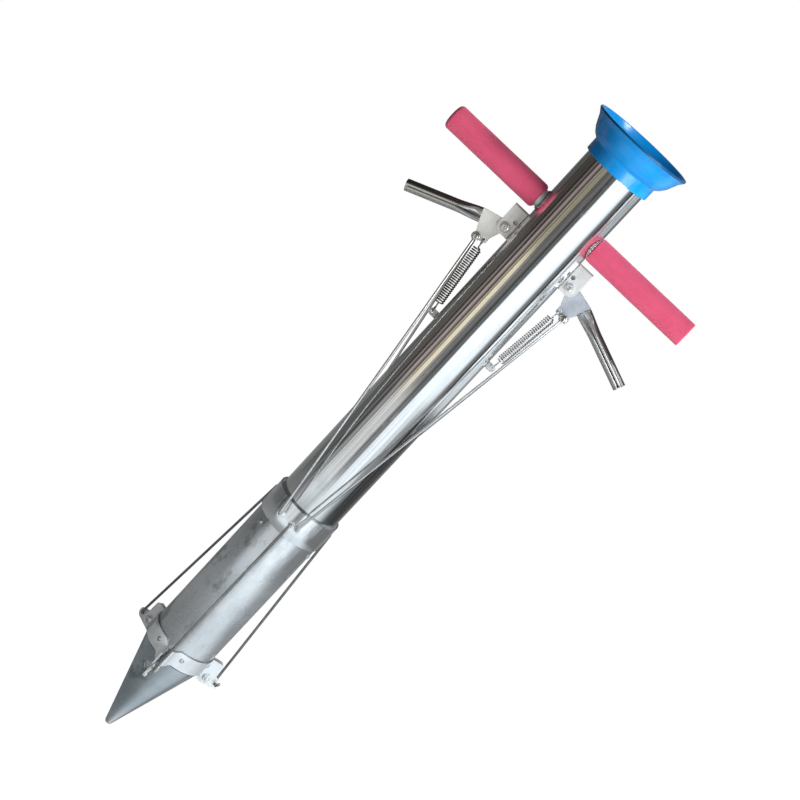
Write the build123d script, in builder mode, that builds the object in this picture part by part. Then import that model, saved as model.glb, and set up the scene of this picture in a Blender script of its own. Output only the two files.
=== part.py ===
from build123d import *
import os
from math import acos, asin, atan2, cos, degrees, hypot, radians, sin, sqrt, tan

# Seedling transplanter: a feed tube with a three-petal planting beak worked by two squeeze levers.
# Frame: origin at the tip of the closed beak, +Z up along the feed tube, the grips and levers along X,
# the front (one petal, one link rod) towards -Y. Millimetres.

# Clearances
fit_gap = 0.05
slide_gap = 0.08
side_gap = 0.3
eye_gap = 0.35
swing_gap = 0.45

# Feed tube and lower tube
tube_r = 38.0
tube_wall = 1.0
tube_top_z = 886.0
tube_overlap = 71.0
sleeve_wall = 1.95
sleeve_above_petals = 1.5
sleeve_in_collar = 35.0

# Feed funnel
skirt_wall = 3.4
skirt_depth = 13.0
funnel_wall = 2.2
shoulder_flare = 13.0
shoulder_rise = 11.0
bowl_flare = 18.0
bowl_rise = 22.0
rim_flare = 22.4
rim_rise = 30.0
rim_lip = 2.0

# Grips, with their drop below the top of the tube
grip_drop = 86.5
bar_r = 11.0
bar_wall = 1.5
bar_out = 128.0
grip_wall = 4.1
grip_gap_left = 4.4
grip_gap_right = 0.7
grip_end = 5.3
grip_round_left = 4.5
grip_round_right = 1.2

# Levers and their brackets, with the pivot's drop below the top of the tube
lever_drop = 135.0
lever_pivot_out = 10.0
bolt_r = 2.95
bolt_head_r = 4.6
bolt_head_h = 2.6
washer_r = 6.2
washer_h = 0.8
nut_r = 5.4
nut_h = 4.2
thread_end = 2.0
plate_t = 3.0
bracket_t = 2.0
bracket_eye_r = 9.0
bracket_rise = 27.0
bracket_hole_r = 2.6
bracket_hole_drop = 16.0
plate_eye_r = 7.0
plate_edge = 2.1
plate_corner = 2.0
pin_out = 17.0
pin_drop = 29.0
pin_r = 1.9
pin_head_r = 3.2
pin_head_h = 1.2
spring_out = 8.5
spring_drop = 25.0
spring_hole_r = 1.7
handle_out = 28.3
handle_drop = 8.8
handle_slope = 21.4
handle_length = 88.9
handle_r = 7.0
handle_wall = 1.2
handle_slit = 2.0
handle_mouth_w = 17.0
handle_mouth_t = 6.4
handle_taper = 30.0
tang_length = 24.0

# Return springs, with the anchor's drop below the lever pivot
anchor_drop = 123.0
anchor_out = 7.0
anchor_t = 2.0
anchor_eye_r = 4.2
spring_r = 5.5
spring_wire_r = 0.8
hook_r = 3.6
hook_reach = 12.0
hook_bar_r = 0.7
spring_ridges = 14

# Collar, its bushes and the rods
wire_r = 1.6
eye_wire_r = 1.5
collar_wall = 1.6
collar_low_z = 336.0
collar_h = 36.0
bush_r = 3.7
bush_out = 2.3
bush_rise = 17.0
pull_x = 13.0
rod_bend = 3.0
foot_bend = 2.5
rod_side = 4.0
tail_length = 9.0
tail_slope = 55.0

# Beak: petals, arms, hinge bands
front_azimuth = -90.0
lug_step = 120.0
petal_inset = 0.5
petal_top_z = 126.5
petal_wall = 1.5
petal_gap = 0.4
petal_relief = 1.2
tip_r = 5.0
band_t = 1.5
band_rise = 0.5
band_h = 21.0
ear_rise = 15.5
ear_reach = 19.5
ear_eye_r = 8.5
ear_corner = 4.0
jaw_pivot_out = 13.5
jaw_pivot_drop = 7.0
arm_t = 3.0
arm_reach = 14.9
arm_drop = 2.9
arm_pivot_r = 8.5
arm_end_r = 6.4
arm_root_r = 5.0
arm_root_drop = 13.5

# Rivets
rivet_r = 1.5
rivet_head_r = 3.0
rivet_head_h = 1.5
tube_rivet_drop = 10.0
tube_rivet_azimuth = -128.0
band_rivet_side = 18.0
band_rivet_rise = 12.5

# Sizes and places that follow from the values above
lug_azimuths = {
    "front": front_azimuth,
    "right": front_azimuth + lug_step,
    "left": front_azimuth + 2 * lug_step,
}
bore_r = tube_r - tube_wall
sleeve_r = tube_r + fit_gap + sleeve_wall
sleeve_low_z = petal_top_z + sleeve_above_petals
sleeve_top_z = collar_low_z + sleeve_in_collar
tube_low_z = sleeve_top_z - tube_overlap
skirt_low_z = tube_top_z - skirt_depth
grip_z = tube_top_z - grip_drop
bar_end_x = tube_r + bar_out
grip_r = bar_r + fit_gap + grip_wall
grip_out_x = bar_end_x + grip_end
collar_in_r = sleeve_r + slide_gap
collar_r = collar_in_r + collar_wall
bush_z = collar_low_z + bush_rise
bush_face_r = collar_r + bush_out
rod_leg_r = bush_face_r + 2 * side_gap + rod_bend
petal_base_r = sleeve_r - petal_inset
band_in_r = sleeve_r + fit_gap
band_r = band_in_r + band_t
band_low_z = sleeve_low_z + band_rise
ear_top_z = band_low_z + ear_rise
jaw_pivot_r = sleeve_r + jaw_pivot_out
jaw_pivot_z = petal_top_z - jaw_pivot_drop
arm_root_z = petal_top_z - arm_root_drop
rod_hole_r = jaw_pivot_r + arm_reach
rod_hole_z = jaw_pivot_z - arm_drop
ear_face = arm_t / 2 + side_gap
ear_back = ear_face + band_t
tube_rivet_z = collar_low_z - tube_rivet_drop
band_rivet_z = band_low_z + band_rivet_rise
lever_x = tube_r + lever_pivot_out
lever_pivot_z = tube_top_z - lever_drop
bracket_top_z = lever_pivot_z + bracket_rise
pin_x = lever_x + pin_out
pin_z = lever_pivot_z - pin_drop
spring_x = lever_x + spring_out
spring_z = lever_pivot_z - spring_drop
anchor_x = tube_r + anchor_out
anchor_z = lever_pivot_z - anchor_drop
cheek_in = plate_t / 2 + side_gap
cheek_out = cheek_in + bracket_t
eye_r = pin_r + eye_gap + eye_wire_r
eye_y = plate_t / 2 + side_gap + wire_r
handle_mouth_x = lever_x + handle_out
handle_mouth_z = lever_pivot_z - handle_drop

os.makedirs("parts", exist_ok=True)


def save(piece, name):
    """Label a finished piece and write its STEP file."""
    piece.part.label = name
    export_step(piece.part, f"parts/{name}.step")


def around(azimuth, out=0.0, side=0.0):
    """Point at a distance from the tube's axis, with a counter-clockwise sideways step."""
    turn = radians(azimuth)
    return (out * cos(turn) - side * sin(turn), out * sin(turn) + side * cos(turn))


def lug_plane(azimuth, side=0.0):
    """Upright plane through the axis: x runs outwards, y up, and the normal clockwise."""
    return Plane(
        origin=(*around(azimuth, 0.0, side), 0.0),
        x_dir=(*around(azimuth, 1.0), 0.0),
        z_dir=(*around(azimuth, 0.0, -1.0), 0.0),
    )


def outward_plane(azimuth, out, z, side=0.0):
    """Plane facing away from the tube's axis at a given distance and height."""
    return Plane(
        origin=(*around(azimuth, out, side), z),
        x_dir=(*around(azimuth, 0.0, 1.0), 0.0),
        z_dir=(*around(azimuth, 1.0), 0.0),
    )


def side_plane(sign):
    """Upright plane of one lever: x runs outwards from the tube, y up."""
    return Plane(origin=(0, 0, 0), x_dir=(sign, 0, 0), z_dir=(0, -sign, 0))


def ring(out_r, in_r, low_z, high_z):
    """Plain round sleeve on the tube's axis, for the part being built."""
    with BuildSketch(Plane.XY.offset(low_z)) as section:
        Circle(out_r)
        Circle(in_r, mode=Mode.SUBTRACT)
    extrude(section.sketch, amount=high_z - low_z)


def cut_tube():
    """Cope the part being built onto the outside of the feed tube."""
    with BuildSketch(Plane.XY.offset(tube_low_z)) as section:
        Circle(tube_r)
    extrude(section.sketch, amount=tube_top_z - tube_low_z, mode=Mode.SUBTRACT)


def rivet(plane, grip):
    """Domed rivet whose head sits on the plane and whose shank goes back by the grip."""
    axis = Axis(plane.origin, plane.z_dir)
    with BuildSketch(Plane(origin=plane.origin, x_dir=plane.x_dir, z_dir=plane.y_dir)) as section:
        with BuildLine():
            Polyline((0, -rivet_head_h), (0, grip), (rivet_r, grip), (rivet_r, 0), (rivet_head_r, 0))
            RadiusArc((rivet_head_r, 0), (0, -rivet_head_h), rivet_dome_r)
        make_face()
    revolve(section.sketch, axis=axis)


rivet_dome_r = (rivet_head_r**2 + rivet_head_h**2) / (2 * rivet_head_h)

# Feed tube and lower tube
with BuildPart() as main_tube:
    ring(tube_r, bore_r, tube_low_z, tube_top_z)
save(main_tube, "main_tube")

tube_rivet_planes = [
    outward_plane(tube_rivet_azimuth + turn, sleeve_r, tube_rivet_z) for turn in (0, lug_step, 2 * lug_step)
]
band_rivet_turn = degrees(asin(band_rivet_side / band_r))
band_rivet_planes = [
    outward_plane(azimuth + turn, band_r, band_rivet_z)
    for azimuth in lug_azimuths.values()
    for turn in (-band_rivet_turn, band_rivet_turn)
]
with BuildPart() as lower_tube:
    ring(sleeve_r, tube_r + fit_gap, sleeve_low_z, sleeve_top_z)
    with Locations(*tube_rivet_planes):
        Hole(rivet_r + fit_gap, depth=2 * sleeve_wall)
save(lower_tube, "lower_tube")

with BuildPart() as tube_rivets:
    for plane in tube_rivet_planes:
        rivet(plane, sleeve_wall)
save(tube_rivets, "tube_rivets")

# Feed funnel
skirt_in_r = tube_r + fit_gap
skirt_r = skirt_in_r + skirt_wall
shoulder_z = tube_top_z + fit_gap
with BuildPart() as feed_funnel:
    with BuildSketch(Plane.XZ):
        with BuildLine():
            Polyline(
                (bore_r, shoulder_z),
                (skirt_in_r, shoulder_z),
                (skirt_in_r, skirt_low_z),
                (skirt_r, skirt_low_z),
                (skirt_r, shoulder_z + funnel_wall),
            )
            Spline(
                (skirt_r, shoulder_z + funnel_wall),
                (tube_r + shoulder_flare, tube_top_z + shoulder_rise),
                (tube_r + bowl_flare, tube_top_z + bowl_rise),
                tangents=[(1, 0.5), (0.35, 1)],
            )
            Polyline(
                (tube_r + bowl_flare, tube_top_z + bowl_rise),
                (tube_r + rim_flare, tube_top_z + rim_rise - rim_lip),
                (tube_r + rim_flare, tube_top_z + rim_rise),
                (tube_r + rim_flare - rim_lip, tube_top_z + rim_rise),
                (tube_r + bowl_flare - funnel_wall, tube_top_z + bowl_rise),
            )
            Spline(
                (tube_r + bowl_flare - funnel_wall, tube_top_z + bowl_rise),
                (tube_r + shoulder_flare - funnel_wall, tube_top_z + shoulder_rise + funnel_wall / 2),
                (bore_r, shoulder_z + funnel_wall + skirt_wall / 2),
                tangents=[(-0.35, -1), (-1, -0.5)],
            )
            Line((bore_r, shoulder_z + funnel_wall + skirt_wall / 2), (bore_r, shoulder_z))
        make_face()
    revolve(axis=Axis.Z)
save(feed_funnel, "feed_funnel")


def make_grip(sign, name, edge, gap):
    """Stub tube coped onto the feed tube, and the foam sleeve on it, a small gap away from the tube."""
    grip_in_x = tube_r + gap
    start = Plane(origin=(0, 0, grip_z), x_dir=(0, 1, 0), z_dir=(sign, 0, 0))
    with BuildPart() as handle_bar:
        with BuildSketch(start):
            Circle(bar_r)
            Circle(bar_r - bar_wall, mode=Mode.SUBTRACT)
        extrude(amount=bar_end_x)
        cut_tube()
    save(handle_bar, f"handle_bar_{name}")
    with BuildPart() as grip:
        with BuildSketch(start.offset(grip_in_x)):
            Circle(grip_r)
        extrude(amount=grip_out_x - grip_in_x)
        fillet(grip.edges().filter_by(GeomType.CIRCLE), edge)
        with BuildSketch(start.offset(grip_in_x)):
            Circle(bar_r + fit_gap)
        extrude(amount=bar_end_x + fit_gap - grip_in_x, mode=Mode.SUBTRACT)
    save(grip, f"grip_{name}")


make_grip(-1, "left", grip_round_left, grip_gap_left)
make_grip(1, "right", grip_round_right, grip_gap_right)


def make_bracket(sign, name):
    """Folded fork: two cheeks with a round foot about the lever pivot, joined by a top web."""
    plane = side_plane(sign)
    with BuildPart() as bracket:
        with BuildSketch(plane):
            with Locations((lever_x, lever_pivot_z)):
                Circle(bracket_eye_r)
            with Locations((0, lever_pivot_z)):
                Rectangle(
                    lever_x + bracket_eye_r, bracket_top_z - lever_pivot_z, align=(Align.MIN, Align.MIN)
                )
            with Locations((0, lever_pivot_z)):
                Rectangle(lever_x, bracket_eye_r, align=(Align.MIN, Align.MAX))
        extrude(amount=cheek_out, both=True)
        top = bracket.faces().sort_by(Axis.Z)[-1]
        fillet(top.edges().filter_by(Axis.X), bracket_t)
        with BuildSketch(plane):
            with Locations((0, bracket_top_z - bracket_t)):
                Rectangle(2 * lever_x, bracket_top_z, align=(Align.MIN, Align.MAX))
        extrude(amount=cheek_in, both=True, mode=Mode.SUBTRACT)
        with BuildSketch(plane):
            with Locations((lever_x, lever_pivot_z)):
                Circle(bolt_r + fit_gap)
        extrude(amount=2 * cheek_out, both=True, mode=Mode.SUBTRACT)
        with BuildSketch(plane):
            with Locations((tube_r + bracket_eye_r / 2, bracket_top_z - bracket_hole_drop)):
                Circle(bracket_hole_r)
        extrude(amount=sign * 2 * cheek_out, mode=Mode.SUBTRACT)
        cut_tube()
    save(bracket, f"lever_bracket_{name}")


def make_lever(sign, name):
    """Lever plate with its tang, and the rolled handle whose flattened mouth takes the tang."""
    plane = side_plane(sign)
    slope = radians(handle_slope)
    along = (cos(slope), -sin(slope))
    across = (sin(slope), cos(slope))
    half_mouth = handle_mouth_w / 2
    top_corner = (handle_mouth_x + half_mouth * across[0], handle_mouth_z + half_mouth * across[1])
    low_corner = (handle_mouth_x - half_mouth * across[0], handle_mouth_z - half_mouth * across[1])
    pin_edge = pin_r + plate_edge
    spring_edge = spring_hole_r + plate_edge
    tang_w = handle_mouth_w / 2
    with BuildPart() as plate:
        with BuildSketch(plane):
            with BuildLine():
                FilletPolyline(
                    (lever_x, lever_pivot_z + plate_eye_r),
                    top_corner,
                    low_corner,
                    (pin_x + pin_edge, pin_z + pin_edge),
                    (pin_x + pin_edge, pin_z - pin_edge),
                    (spring_x - spring_edge, spring_z - spring_edge),
                    (spring_x - spring_edge, spring_z + spring_edge),
                    (lever_x - plate_eye_r / 2, lever_pivot_z),
                    radius=[0, 0, 0, plate_corner, plate_corner, plate_corner, plate_corner, 0],
                    close=True,
                )
            make_face()
            with Locations((lever_x, lever_pivot_z)):
                Circle(plate_eye_r)
            with BuildLine():
                tang = [
                    (
                        handle_mouth_x + run * along[0] + rise * across[0],
                        handle_mouth_z + run * along[1] + rise * across[1],
                    )
                    for run, rise in (
                        (-plate_t, tang_w / 2),
                        (tang_length, tang_w / 2),
                        (tang_length, -tang_w / 2),
                        (-plate_t, -tang_w / 2),
                    )
                ]
                Polyline(*tang, close=True)
            make_face()
            with Locations((lever_x, lever_pivot_z)):
                Circle(bolt_r + fit_gap, mode=Mode.SUBTRACT)
            with Locations((pin_x, pin_z)):
                Circle(pin_r, mode=Mode.SUBTRACT)
            with Locations((spring_x, spring_z)):
                Circle(spring_hole_r, mode=Mode.SUBTRACT)
        extrude(amount=plate_t / 2, both=True)
    save(plate, f"lever_plate_{name}")

    mouth = Plane(
        origin=(sign * (handle_mouth_x + fit_gap * along[0]), 0, handle_mouth_z + fit_gap * along[1]),
        x_dir=(sign * across[0], 0, across[1]),
        z_dir=(sign * along[0], 0, along[1]),
    )
    with BuildPart() as handle:
        with BuildSketch(mouth):
            SlotOverall(handle_mouth_w, handle_mouth_t)
        with BuildSketch(mouth.offset(handle_taper)):
            Circle(handle_r)
        loft()
        with BuildSketch(mouth.offset(handle_taper)):
            Circle(handle_r)
        extrude(amount=handle_length - handle_taper)
        with BuildSketch(mouth):
            SlotOverall(handle_mouth_w - 2 * handle_wall, plate_t + 2 * fit_gap)
        with BuildSketch(mouth.offset(handle_taper)):
            Circle(handle_r - handle_wall)
        loft(mode=Mode.SUBTRACT)
        with BuildSketch(mouth.offset(handle_taper)):
            Circle(handle_r - handle_wall)
        extrude(amount=handle_length - handle_taper, mode=Mode.SUBTRACT)
        with BuildSketch(mouth):
            with Locations((0, sign * handle_r)):
                Rectangle(handle_slit, 2 * handle_r)
        extrude(amount=handle_length, mode=Mode.SUBTRACT)
    save(handle, f"lever_handle_{name}")

    with BuildPart() as pin:
        with BuildSketch(plane):
            with Locations((pin_x, pin_z)):
                Circle(pin_r)
        extrude(amount=eye_y + wire_r + side_gap, both=True)
        for direction in (-1, 1):
            with BuildSketch(plane.offset(direction * (eye_y + wire_r + side_gap))):
                with Locations((pin_x, pin_z)):
                    Circle(pin_head_r)
            extrude(amount=direction * pin_head_h)
    save(pin, f"rod_pin_{name}")


for sign, name in ((-1, "left"), (1, "right")):
    make_bracket(sign, name)
    make_lever(sign, name)


def bolt(plane, x, y, grip):
    """Pan-headed bolt with a washer across a plane at (x, y): head on its back, grip both ways."""
    with BuildSketch(plane.offset(-grip)) as washer:
        with Locations((x, y)):
            Circle(washer_r)
    extrude(washer.sketch, amount=-washer_h)
    with BuildSketch(plane.offset(-grip - washer_h)) as head:
        with Locations((x, y)):
            Circle(bolt_head_r)
    extrude(head.sketch, amount=-bolt_head_h)
    with BuildSketch(plane.offset(-grip)) as shank:
        with Locations((x, y)):
            Circle(bolt_r)
    extrude(shank.sketch, amount=2 * grip + nut_h + thread_end)


def nut(plane, x, y, grip):
    """Hexagon nut on the front of the plane."""
    with BuildSketch(plane.offset(grip)) as section:
        with Locations((x, y)):
            RegularPolygon(nut_r, 6)
            Circle(bolt_r + fit_gap, mode=Mode.SUBTRACT)
    extrude(section.sketch, amount=nut_h)


with BuildPart() as lever_bolts:
    for sign in (-1, 1):
        bolt(side_plane(sign), lever_x, lever_pivot_z, cheek_out)
save(lever_bolts, "lever_bolts")

with BuildPart() as lever_nuts:
    for sign in (-1, 1):
        nut(side_plane(sign), lever_x, lever_pivot_z, cheek_out)
save(lever_nuts, "lever_nuts")

with BuildPart() as jaw_bolts:
    for azimuth in lug_azimuths.values():
        bolt(lug_plane(azimuth), jaw_pivot_r, jaw_pivot_z, ear_back)
save(jaw_bolts, "jaw_bolts")

with BuildPart() as jaw_nuts:
    for azimuth in lug_azimuths.values():
        nut(lug_plane(azimuth), jaw_pivot_r, jaw_pivot_z, ear_back)
save(jaw_nuts, "jaw_nuts")


def make_spring(sign, name):
    """Anchor tab on the tube, and the extension spring from it to the lever plate."""
    plane = side_plane(sign)
    with BuildPart() as anchor:
        with BuildSketch(plane):
            with Locations((anchor_x, anchor_z)):
                Circle(anchor_eye_r)
                Rectangle(anchor_x, 2 * anchor_eye_r, align=(Align.MAX, Align.CENTER))
                Circle(spring_hole_r, mode=Mode.SUBTRACT)
        extrude(amount=anchor_t / 2, both=True)
        cut_tube()
    save(anchor, f"spring_anchor_{name}")

    foot = Vector(sign * anchor_x, 0, anchor_z)
    head = Vector(sign * spring_x, 0, spring_z)
    along = (head - foot).normalized()
    reach = (head - foot).length
    coil_low = hook_reach
    coil_length = reach - 2 * coil_low
    pitch = coil_length / spring_ridges
    section = Plane(origin=foot, x_dir=(0, 1, 0), z_dir=along.cross(Vector(0, 1, 0)))
    up = 1 if section.y_dir.dot(along) > 0 else -1
    inner_r = spring_r - 2 * spring_wire_r
    with BuildPart() as spring:
        with BuildSketch(section):
            with BuildLine():
                outline = [(inner_r, up * coil_low)]
                for ridge in range(spring_ridges):
                    low = coil_low + ridge * pitch
                    outline.append((spring_r - spring_wire_r, up * low))
                    outline.append((spring_r, up * (low + pitch / 2)))
                outline.append((spring_r - spring_wire_r, up * (coil_low + coil_length)))
                outline.append((inner_r, up * (coil_low + coil_length)))
                Polyline(*outline, close=True)
            make_face()
        revolve(axis=Axis(foot, along))
        for end, inwards in ((foot, along), (head, -along)):
            with Locations(Plane(origin=end + inwards * hook_r, x_dir=(0, 1, 0), z_dir=section.z_dir)):
                Torus(hook_r, spring_wire_r)
            with BuildSketch(Plane(origin=end + inwards * 2 * hook_r, z_dir=inwards)):
                Circle(spring_wire_r)
            extrude(amount=hook_reach - 2 * hook_r + spring_wire_r / 2)
            bar = end + inwards * (hook_reach + spring_wire_r / 2)
            with BuildSketch(Plane(origin=bar, x_dir=along, z_dir=(0, 1, 0))):
                Circle(hook_bar_r)
            extrude(amount=spring_r - spring_wire_r, both=True)
    save(spring, f"return_spring_{name}")


for sign, name in ((-1, "left"), (1, "right")):
    make_spring(sign, name)

# Collar with its seven bushes
pull_faces = [
    Plane(origin=(side * pull_x, front * bush_face_r, bush_z), x_dir=(1, 0, 0), z_dir=(0, front, 0))
    for side in (-1, 1)
    for front in (-1, 1)
]
link_faces = [
    outward_plane(azimuth, bush_face_r, bush_z, rod_side) for azimuth in lug_azimuths.values()
]
bush_faces = pull_faces + link_faces
with BuildPart() as collar:
    ring(collar_r, collar_in_r, collar_low_z, collar_low_z + collar_h)
    for face in bush_faces:
        with BuildSketch(face):
            Circle(bush_r + fit_gap)
        extrude(amount=-collar_r / 2, mode=Mode.SUBTRACT)
save(collar, "collar")

with BuildPart() as collar_bushes:
    for face in bush_faces:
        with BuildSketch(face):
            Circle(bush_r)
            Circle(wire_r + fit_gap, mode=Mode.SUBTRACT)
        extrude(amount=-collar_r / 2)
    with BuildSketch(Plane.XY.offset(collar_low_z)):
        Circle(collar_in_r)
    extrude(amount=collar_h, mode=Mode.SUBTRACT)
save(collar_bushes, "collar_bushes")


def wire(path_plane, points, radii):
    """Round rod along straight runs joined by bends, for the part being built."""
    with BuildLine() as path:
        FilletPolyline(*points, radius=radii)
    with BuildSketch(path_plane) as section:
        Circle(wire_r)
    sweep(section.sketch, path=path.line)


def make_pull_rod(sign, front, name):
    """Pull rod: an eye on the lever's rod pin, a straight leg, and a bent end in the collar."""
    leg_y = front * rod_leg_r
    end = (sign * pull_x, front * bush_root_y, bush_z)
    run = hypot(pin_x - pull_x, pin_z - bush_z)
    neck = (
        sign * (pin_x - eye_r * (pin_x - pull_x) / run),
        front * eye_y,
        pin_z - eye_r * (pin_z - bush_z) / run,
    )
    with BuildPart() as pull_rod:
        start = Plane(origin=end, x_dir=(1, 0, 0), z_dir=(0, front, 0))
        wire(start, [end, (sign * pull_x, leg_y, bush_z), neck], [rod_bend])
        with Locations(Plane(origin=(sign * pin_x, front * eye_y, pin_z), x_dir=(1, 0, 0), z_dir=(0, 1, 0))):
            Torus(eye_r, eye_wire_r)
    save(pull_rod, f"pull_rod_{name}")


bush_root_y = sqrt(collar_r**2 - pull_x**2)
for sign, side in ((-1, "left"), (1, "right")):
    for front, end in ((-1, "front"), (1, "back")):
        make_pull_rod(sign, front, f"{side}_{end}")


def make_link_rod(azimuth, name):
    """Link rod: bent end in the collar, straight leg, foot through the arm, and a short bent tail."""
    tail = radians(tail_slope)
    foot_side = -(arm_t / 2 + side_gap + 2 * wire_r)
    points = [
        (*around(azimuth, collar_r, rod_side), bush_z),
        (*around(azimuth, rod_leg_r, rod_side), bush_z),
        (*around(azimuth, rod_hole_r, rod_side), rod_hole_z),
        (*around(azimuth, rod_hole_r, foot_side), rod_hole_z),
        (
            *around(azimuth, rod_hole_r, foot_side - tail_length * cos(tail)),
            rod_hole_z + tail_length * sin(tail),
        ),
    ]
    start = outward_plane(azimuth, collar_r, bush_z, rod_side)
    with BuildPart() as link_rod:
        wire(start, points, [rod_bend, foot_bend, foot_bend])
    save(link_rod, f"link_rod_{name}")


# Petal section: a straight side tangent to the round tip
lean = atan2(petal_top_z - tip_r, petal_base_r) - acos(tip_r / hypot(petal_top_z - tip_r, petal_base_r))


def side_point(depth, at_top):
    """Point of the petal's side at a depth under its outer face: at the top edge or at the tip."""
    if at_top:
        return (petal_base_r - depth / cos(lean), petal_top_z)
    return ((tip_r - depth) * cos(lean), tip_r + (tip_r - depth) * sin(lean))


def tip_arc(depth):
    """Round tip of the petal's section, from the axis to the straight side."""
    half = (lean - radians(90)) / 2
    middle = ((tip_r - depth) * cos(half), tip_r + (tip_r - depth) * sin(half))
    ThreePointArc((0, depth), middle, side_point(depth, False))


def seam_plane(azimuth):
    """Plane across the seam between two petals: sideways and up, seen from outside."""
    return Plane((0, 0, 0), x_dir=(*around(azimuth, 0, 1), 0), z_dir=(*around(azimuth, 1), 0))


def make_jaw(azimuth, name):
    """One petal of the beak, and the arm plate welded to it."""
    with BuildPart() as petal:
        with BuildSketch(Plane.XZ):
            with BuildLine():
                tip_arc(0)
                Polyline(
                    side_point(0, False),
                    side_point(0, True),
                    side_point(petal_wall, True),
                    side_point(petal_wall, False),
                )
                tip_arc(petal_wall)
                Line((0, petal_wall), (0, 0))
            make_face()
        revolve(axis=Axis.Z)
        apex = around(azimuth, petal_gap / 2 / sin(radians(lug_step / 2)))
        with BuildSketch(Plane.XY.offset(-tip_r)):
            with BuildLine():
                corners = [around(azimuth + turn, reach * petal_base_r) for turn, reach in wedge]
                Polyline(apex, *[(apex[0] + x, apex[1] + y) for x, y in corners], close=True)
            make_face()
        extrude(amount=petal_top_z + 2 * tip_r, mode=Mode.INTERSECT)
        for turn in (-lug_step / 2, lug_step / 2):
            with BuildSketch(seam_plane(azimuth + turn)):
                with BuildLine():
                    notch = [(-petal_relief, petal_top_z), (petal_relief, petal_top_z)]
                    Polyline((0, jaw_pivot_z), *notch, close=True)
                make_face()
            extrude(amount=2 * petal_base_r, mode=Mode.SUBTRACT)
    save(petal, f"jaw_{name}")

    with BuildPart() as arm:
        with BuildSketch(lug_plane(azimuth)):
            with BuildLine():
                CenterArc((jaw_pivot_r, jaw_pivot_z), arm_pivot_r, 0, 360)
                CenterArc((rod_hole_r, rod_hole_z), arm_end_r, 0, 360)
                CenterArc((side_radius(arm_root_z), arm_root_z), arm_root_r, 0, 360)
            make_hull()
            with Locations((jaw_pivot_r, jaw_pivot_z)):
                Circle(bolt_r + fit_gap, mode=Mode.SUBTRACT)
            with Locations((rod_hole_r, rod_hole_z)):
                Circle(wire_r + swing_gap, mode=Mode.SUBTRACT)
        extrude(amount=arm_t / 2, both=True)
        with BuildSketch(Plane.XZ):
            with BuildLine():
                tip_arc(0)
                Polyline(side_point(0, False), side_point(0, True), (0, petal_top_z), (0, 0))
            make_face()
        revolve(axis=Axis.Z, mode=Mode.SUBTRACT)
    save(arm, f"jaw_arm_{name}")


def side_radius(z):
    """Outer radius of the petals at a height on the straight side."""
    return petal_base_r + (petal_top_z - z) * tan(lean)


wedge = ((-lug_step / 2, 2), (-lug_step / 4, 3), (lug_step / 4, 3), (lug_step / 2, 2))
for name, azimuth in lug_azimuths.items():
    make_link_rod(azimuth, name)
    make_jaw(azimuth, name)


def ear(plane, amount):
    """Bent-out end of a strap: a plate round the petal's pivot."""
    with BuildSketch(plane) as section:
        with BuildLine():
            CenterArc((jaw_pivot_r, jaw_pivot_z), ear_eye_r, 0, 360)
            CenterArc((band_r + ear_reach - ear_corner, ear_top_z - ear_corner), ear_corner, 0, 360)
            Line((band_in_r + fit_gap, band_low_z), (band_in_r + fit_gap, ear_top_z))
        make_hull()
        with Locations((jaw_pivot_r, jaw_pivot_z)):
            Circle(bolt_r + fit_gap, mode=Mode.SUBTRACT)
    extrude(section.sketch, amount=amount)


def make_band(start, name):
    """Strap segment from one lug counter-clockwise to the next, with an ear at each end."""
    after = start + lug_step
    with BuildPart() as band:
        with BuildSketch(Plane.XY.offset(band_low_z)):
            Circle(band_r)
            Circle(band_in_r, mode=Mode.SUBTRACT)
            with BuildLine():
                spread = ear_face / sin(radians(lug_step / 2))
                apex = around(start + lug_step / 2, spread)
                corners = [around(start + lug_step / 2 + turn, reach * band_r) for turn, reach in wedge]
                Polyline(apex, *[(apex[0] + x, apex[1] + y) for x, y in corners], close=True)
            make_face(mode=Mode.INTERSECT)
        extrude(amount=band_h)
        ear(lug_plane(start, ear_face), -band_t)
        ear(lug_plane(after, -ear_face), band_t)
        for plane in band_rivet_planes:
            with Locations(plane):
                Hole(rivet_r + fit_gap, depth=2 * band_t)
    save(band, f"hinge_band_{name}")


for start, name in zip(lug_azimuths.values(), ("right", "back", "left")):
    make_band(start, name)

with BuildPart() as band_rivets:
    for plane in band_rivet_planes:
        rivet(plane, band_t)
save(band_rivets, "band_rivets")
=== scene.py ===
import bmesh
import bpy
import numpy as np
from mathutils import Matrix


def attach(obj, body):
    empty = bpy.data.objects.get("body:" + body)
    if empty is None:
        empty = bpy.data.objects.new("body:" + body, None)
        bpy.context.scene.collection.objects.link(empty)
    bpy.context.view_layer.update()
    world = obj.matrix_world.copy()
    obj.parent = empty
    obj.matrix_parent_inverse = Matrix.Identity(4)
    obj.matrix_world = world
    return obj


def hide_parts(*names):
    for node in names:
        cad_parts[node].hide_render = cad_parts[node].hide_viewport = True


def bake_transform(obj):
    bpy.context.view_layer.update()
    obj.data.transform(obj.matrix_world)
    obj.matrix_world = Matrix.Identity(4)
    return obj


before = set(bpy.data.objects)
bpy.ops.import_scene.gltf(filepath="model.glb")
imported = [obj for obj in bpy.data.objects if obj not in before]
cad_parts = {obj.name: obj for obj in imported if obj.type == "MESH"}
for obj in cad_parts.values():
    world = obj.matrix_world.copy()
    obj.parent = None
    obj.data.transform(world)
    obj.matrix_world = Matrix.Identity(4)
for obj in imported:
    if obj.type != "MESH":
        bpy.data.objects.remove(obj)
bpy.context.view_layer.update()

# Seedling transplanter: looks of every piece. Lengths are millimetres here and metres in the meshes.
scene = bpy.context.scene
MM = 0.001
TURN, SIXTH = 2 * np.pi, np.radians(60)
UP = np.array([0.0, 0.0, 1.0])

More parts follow.
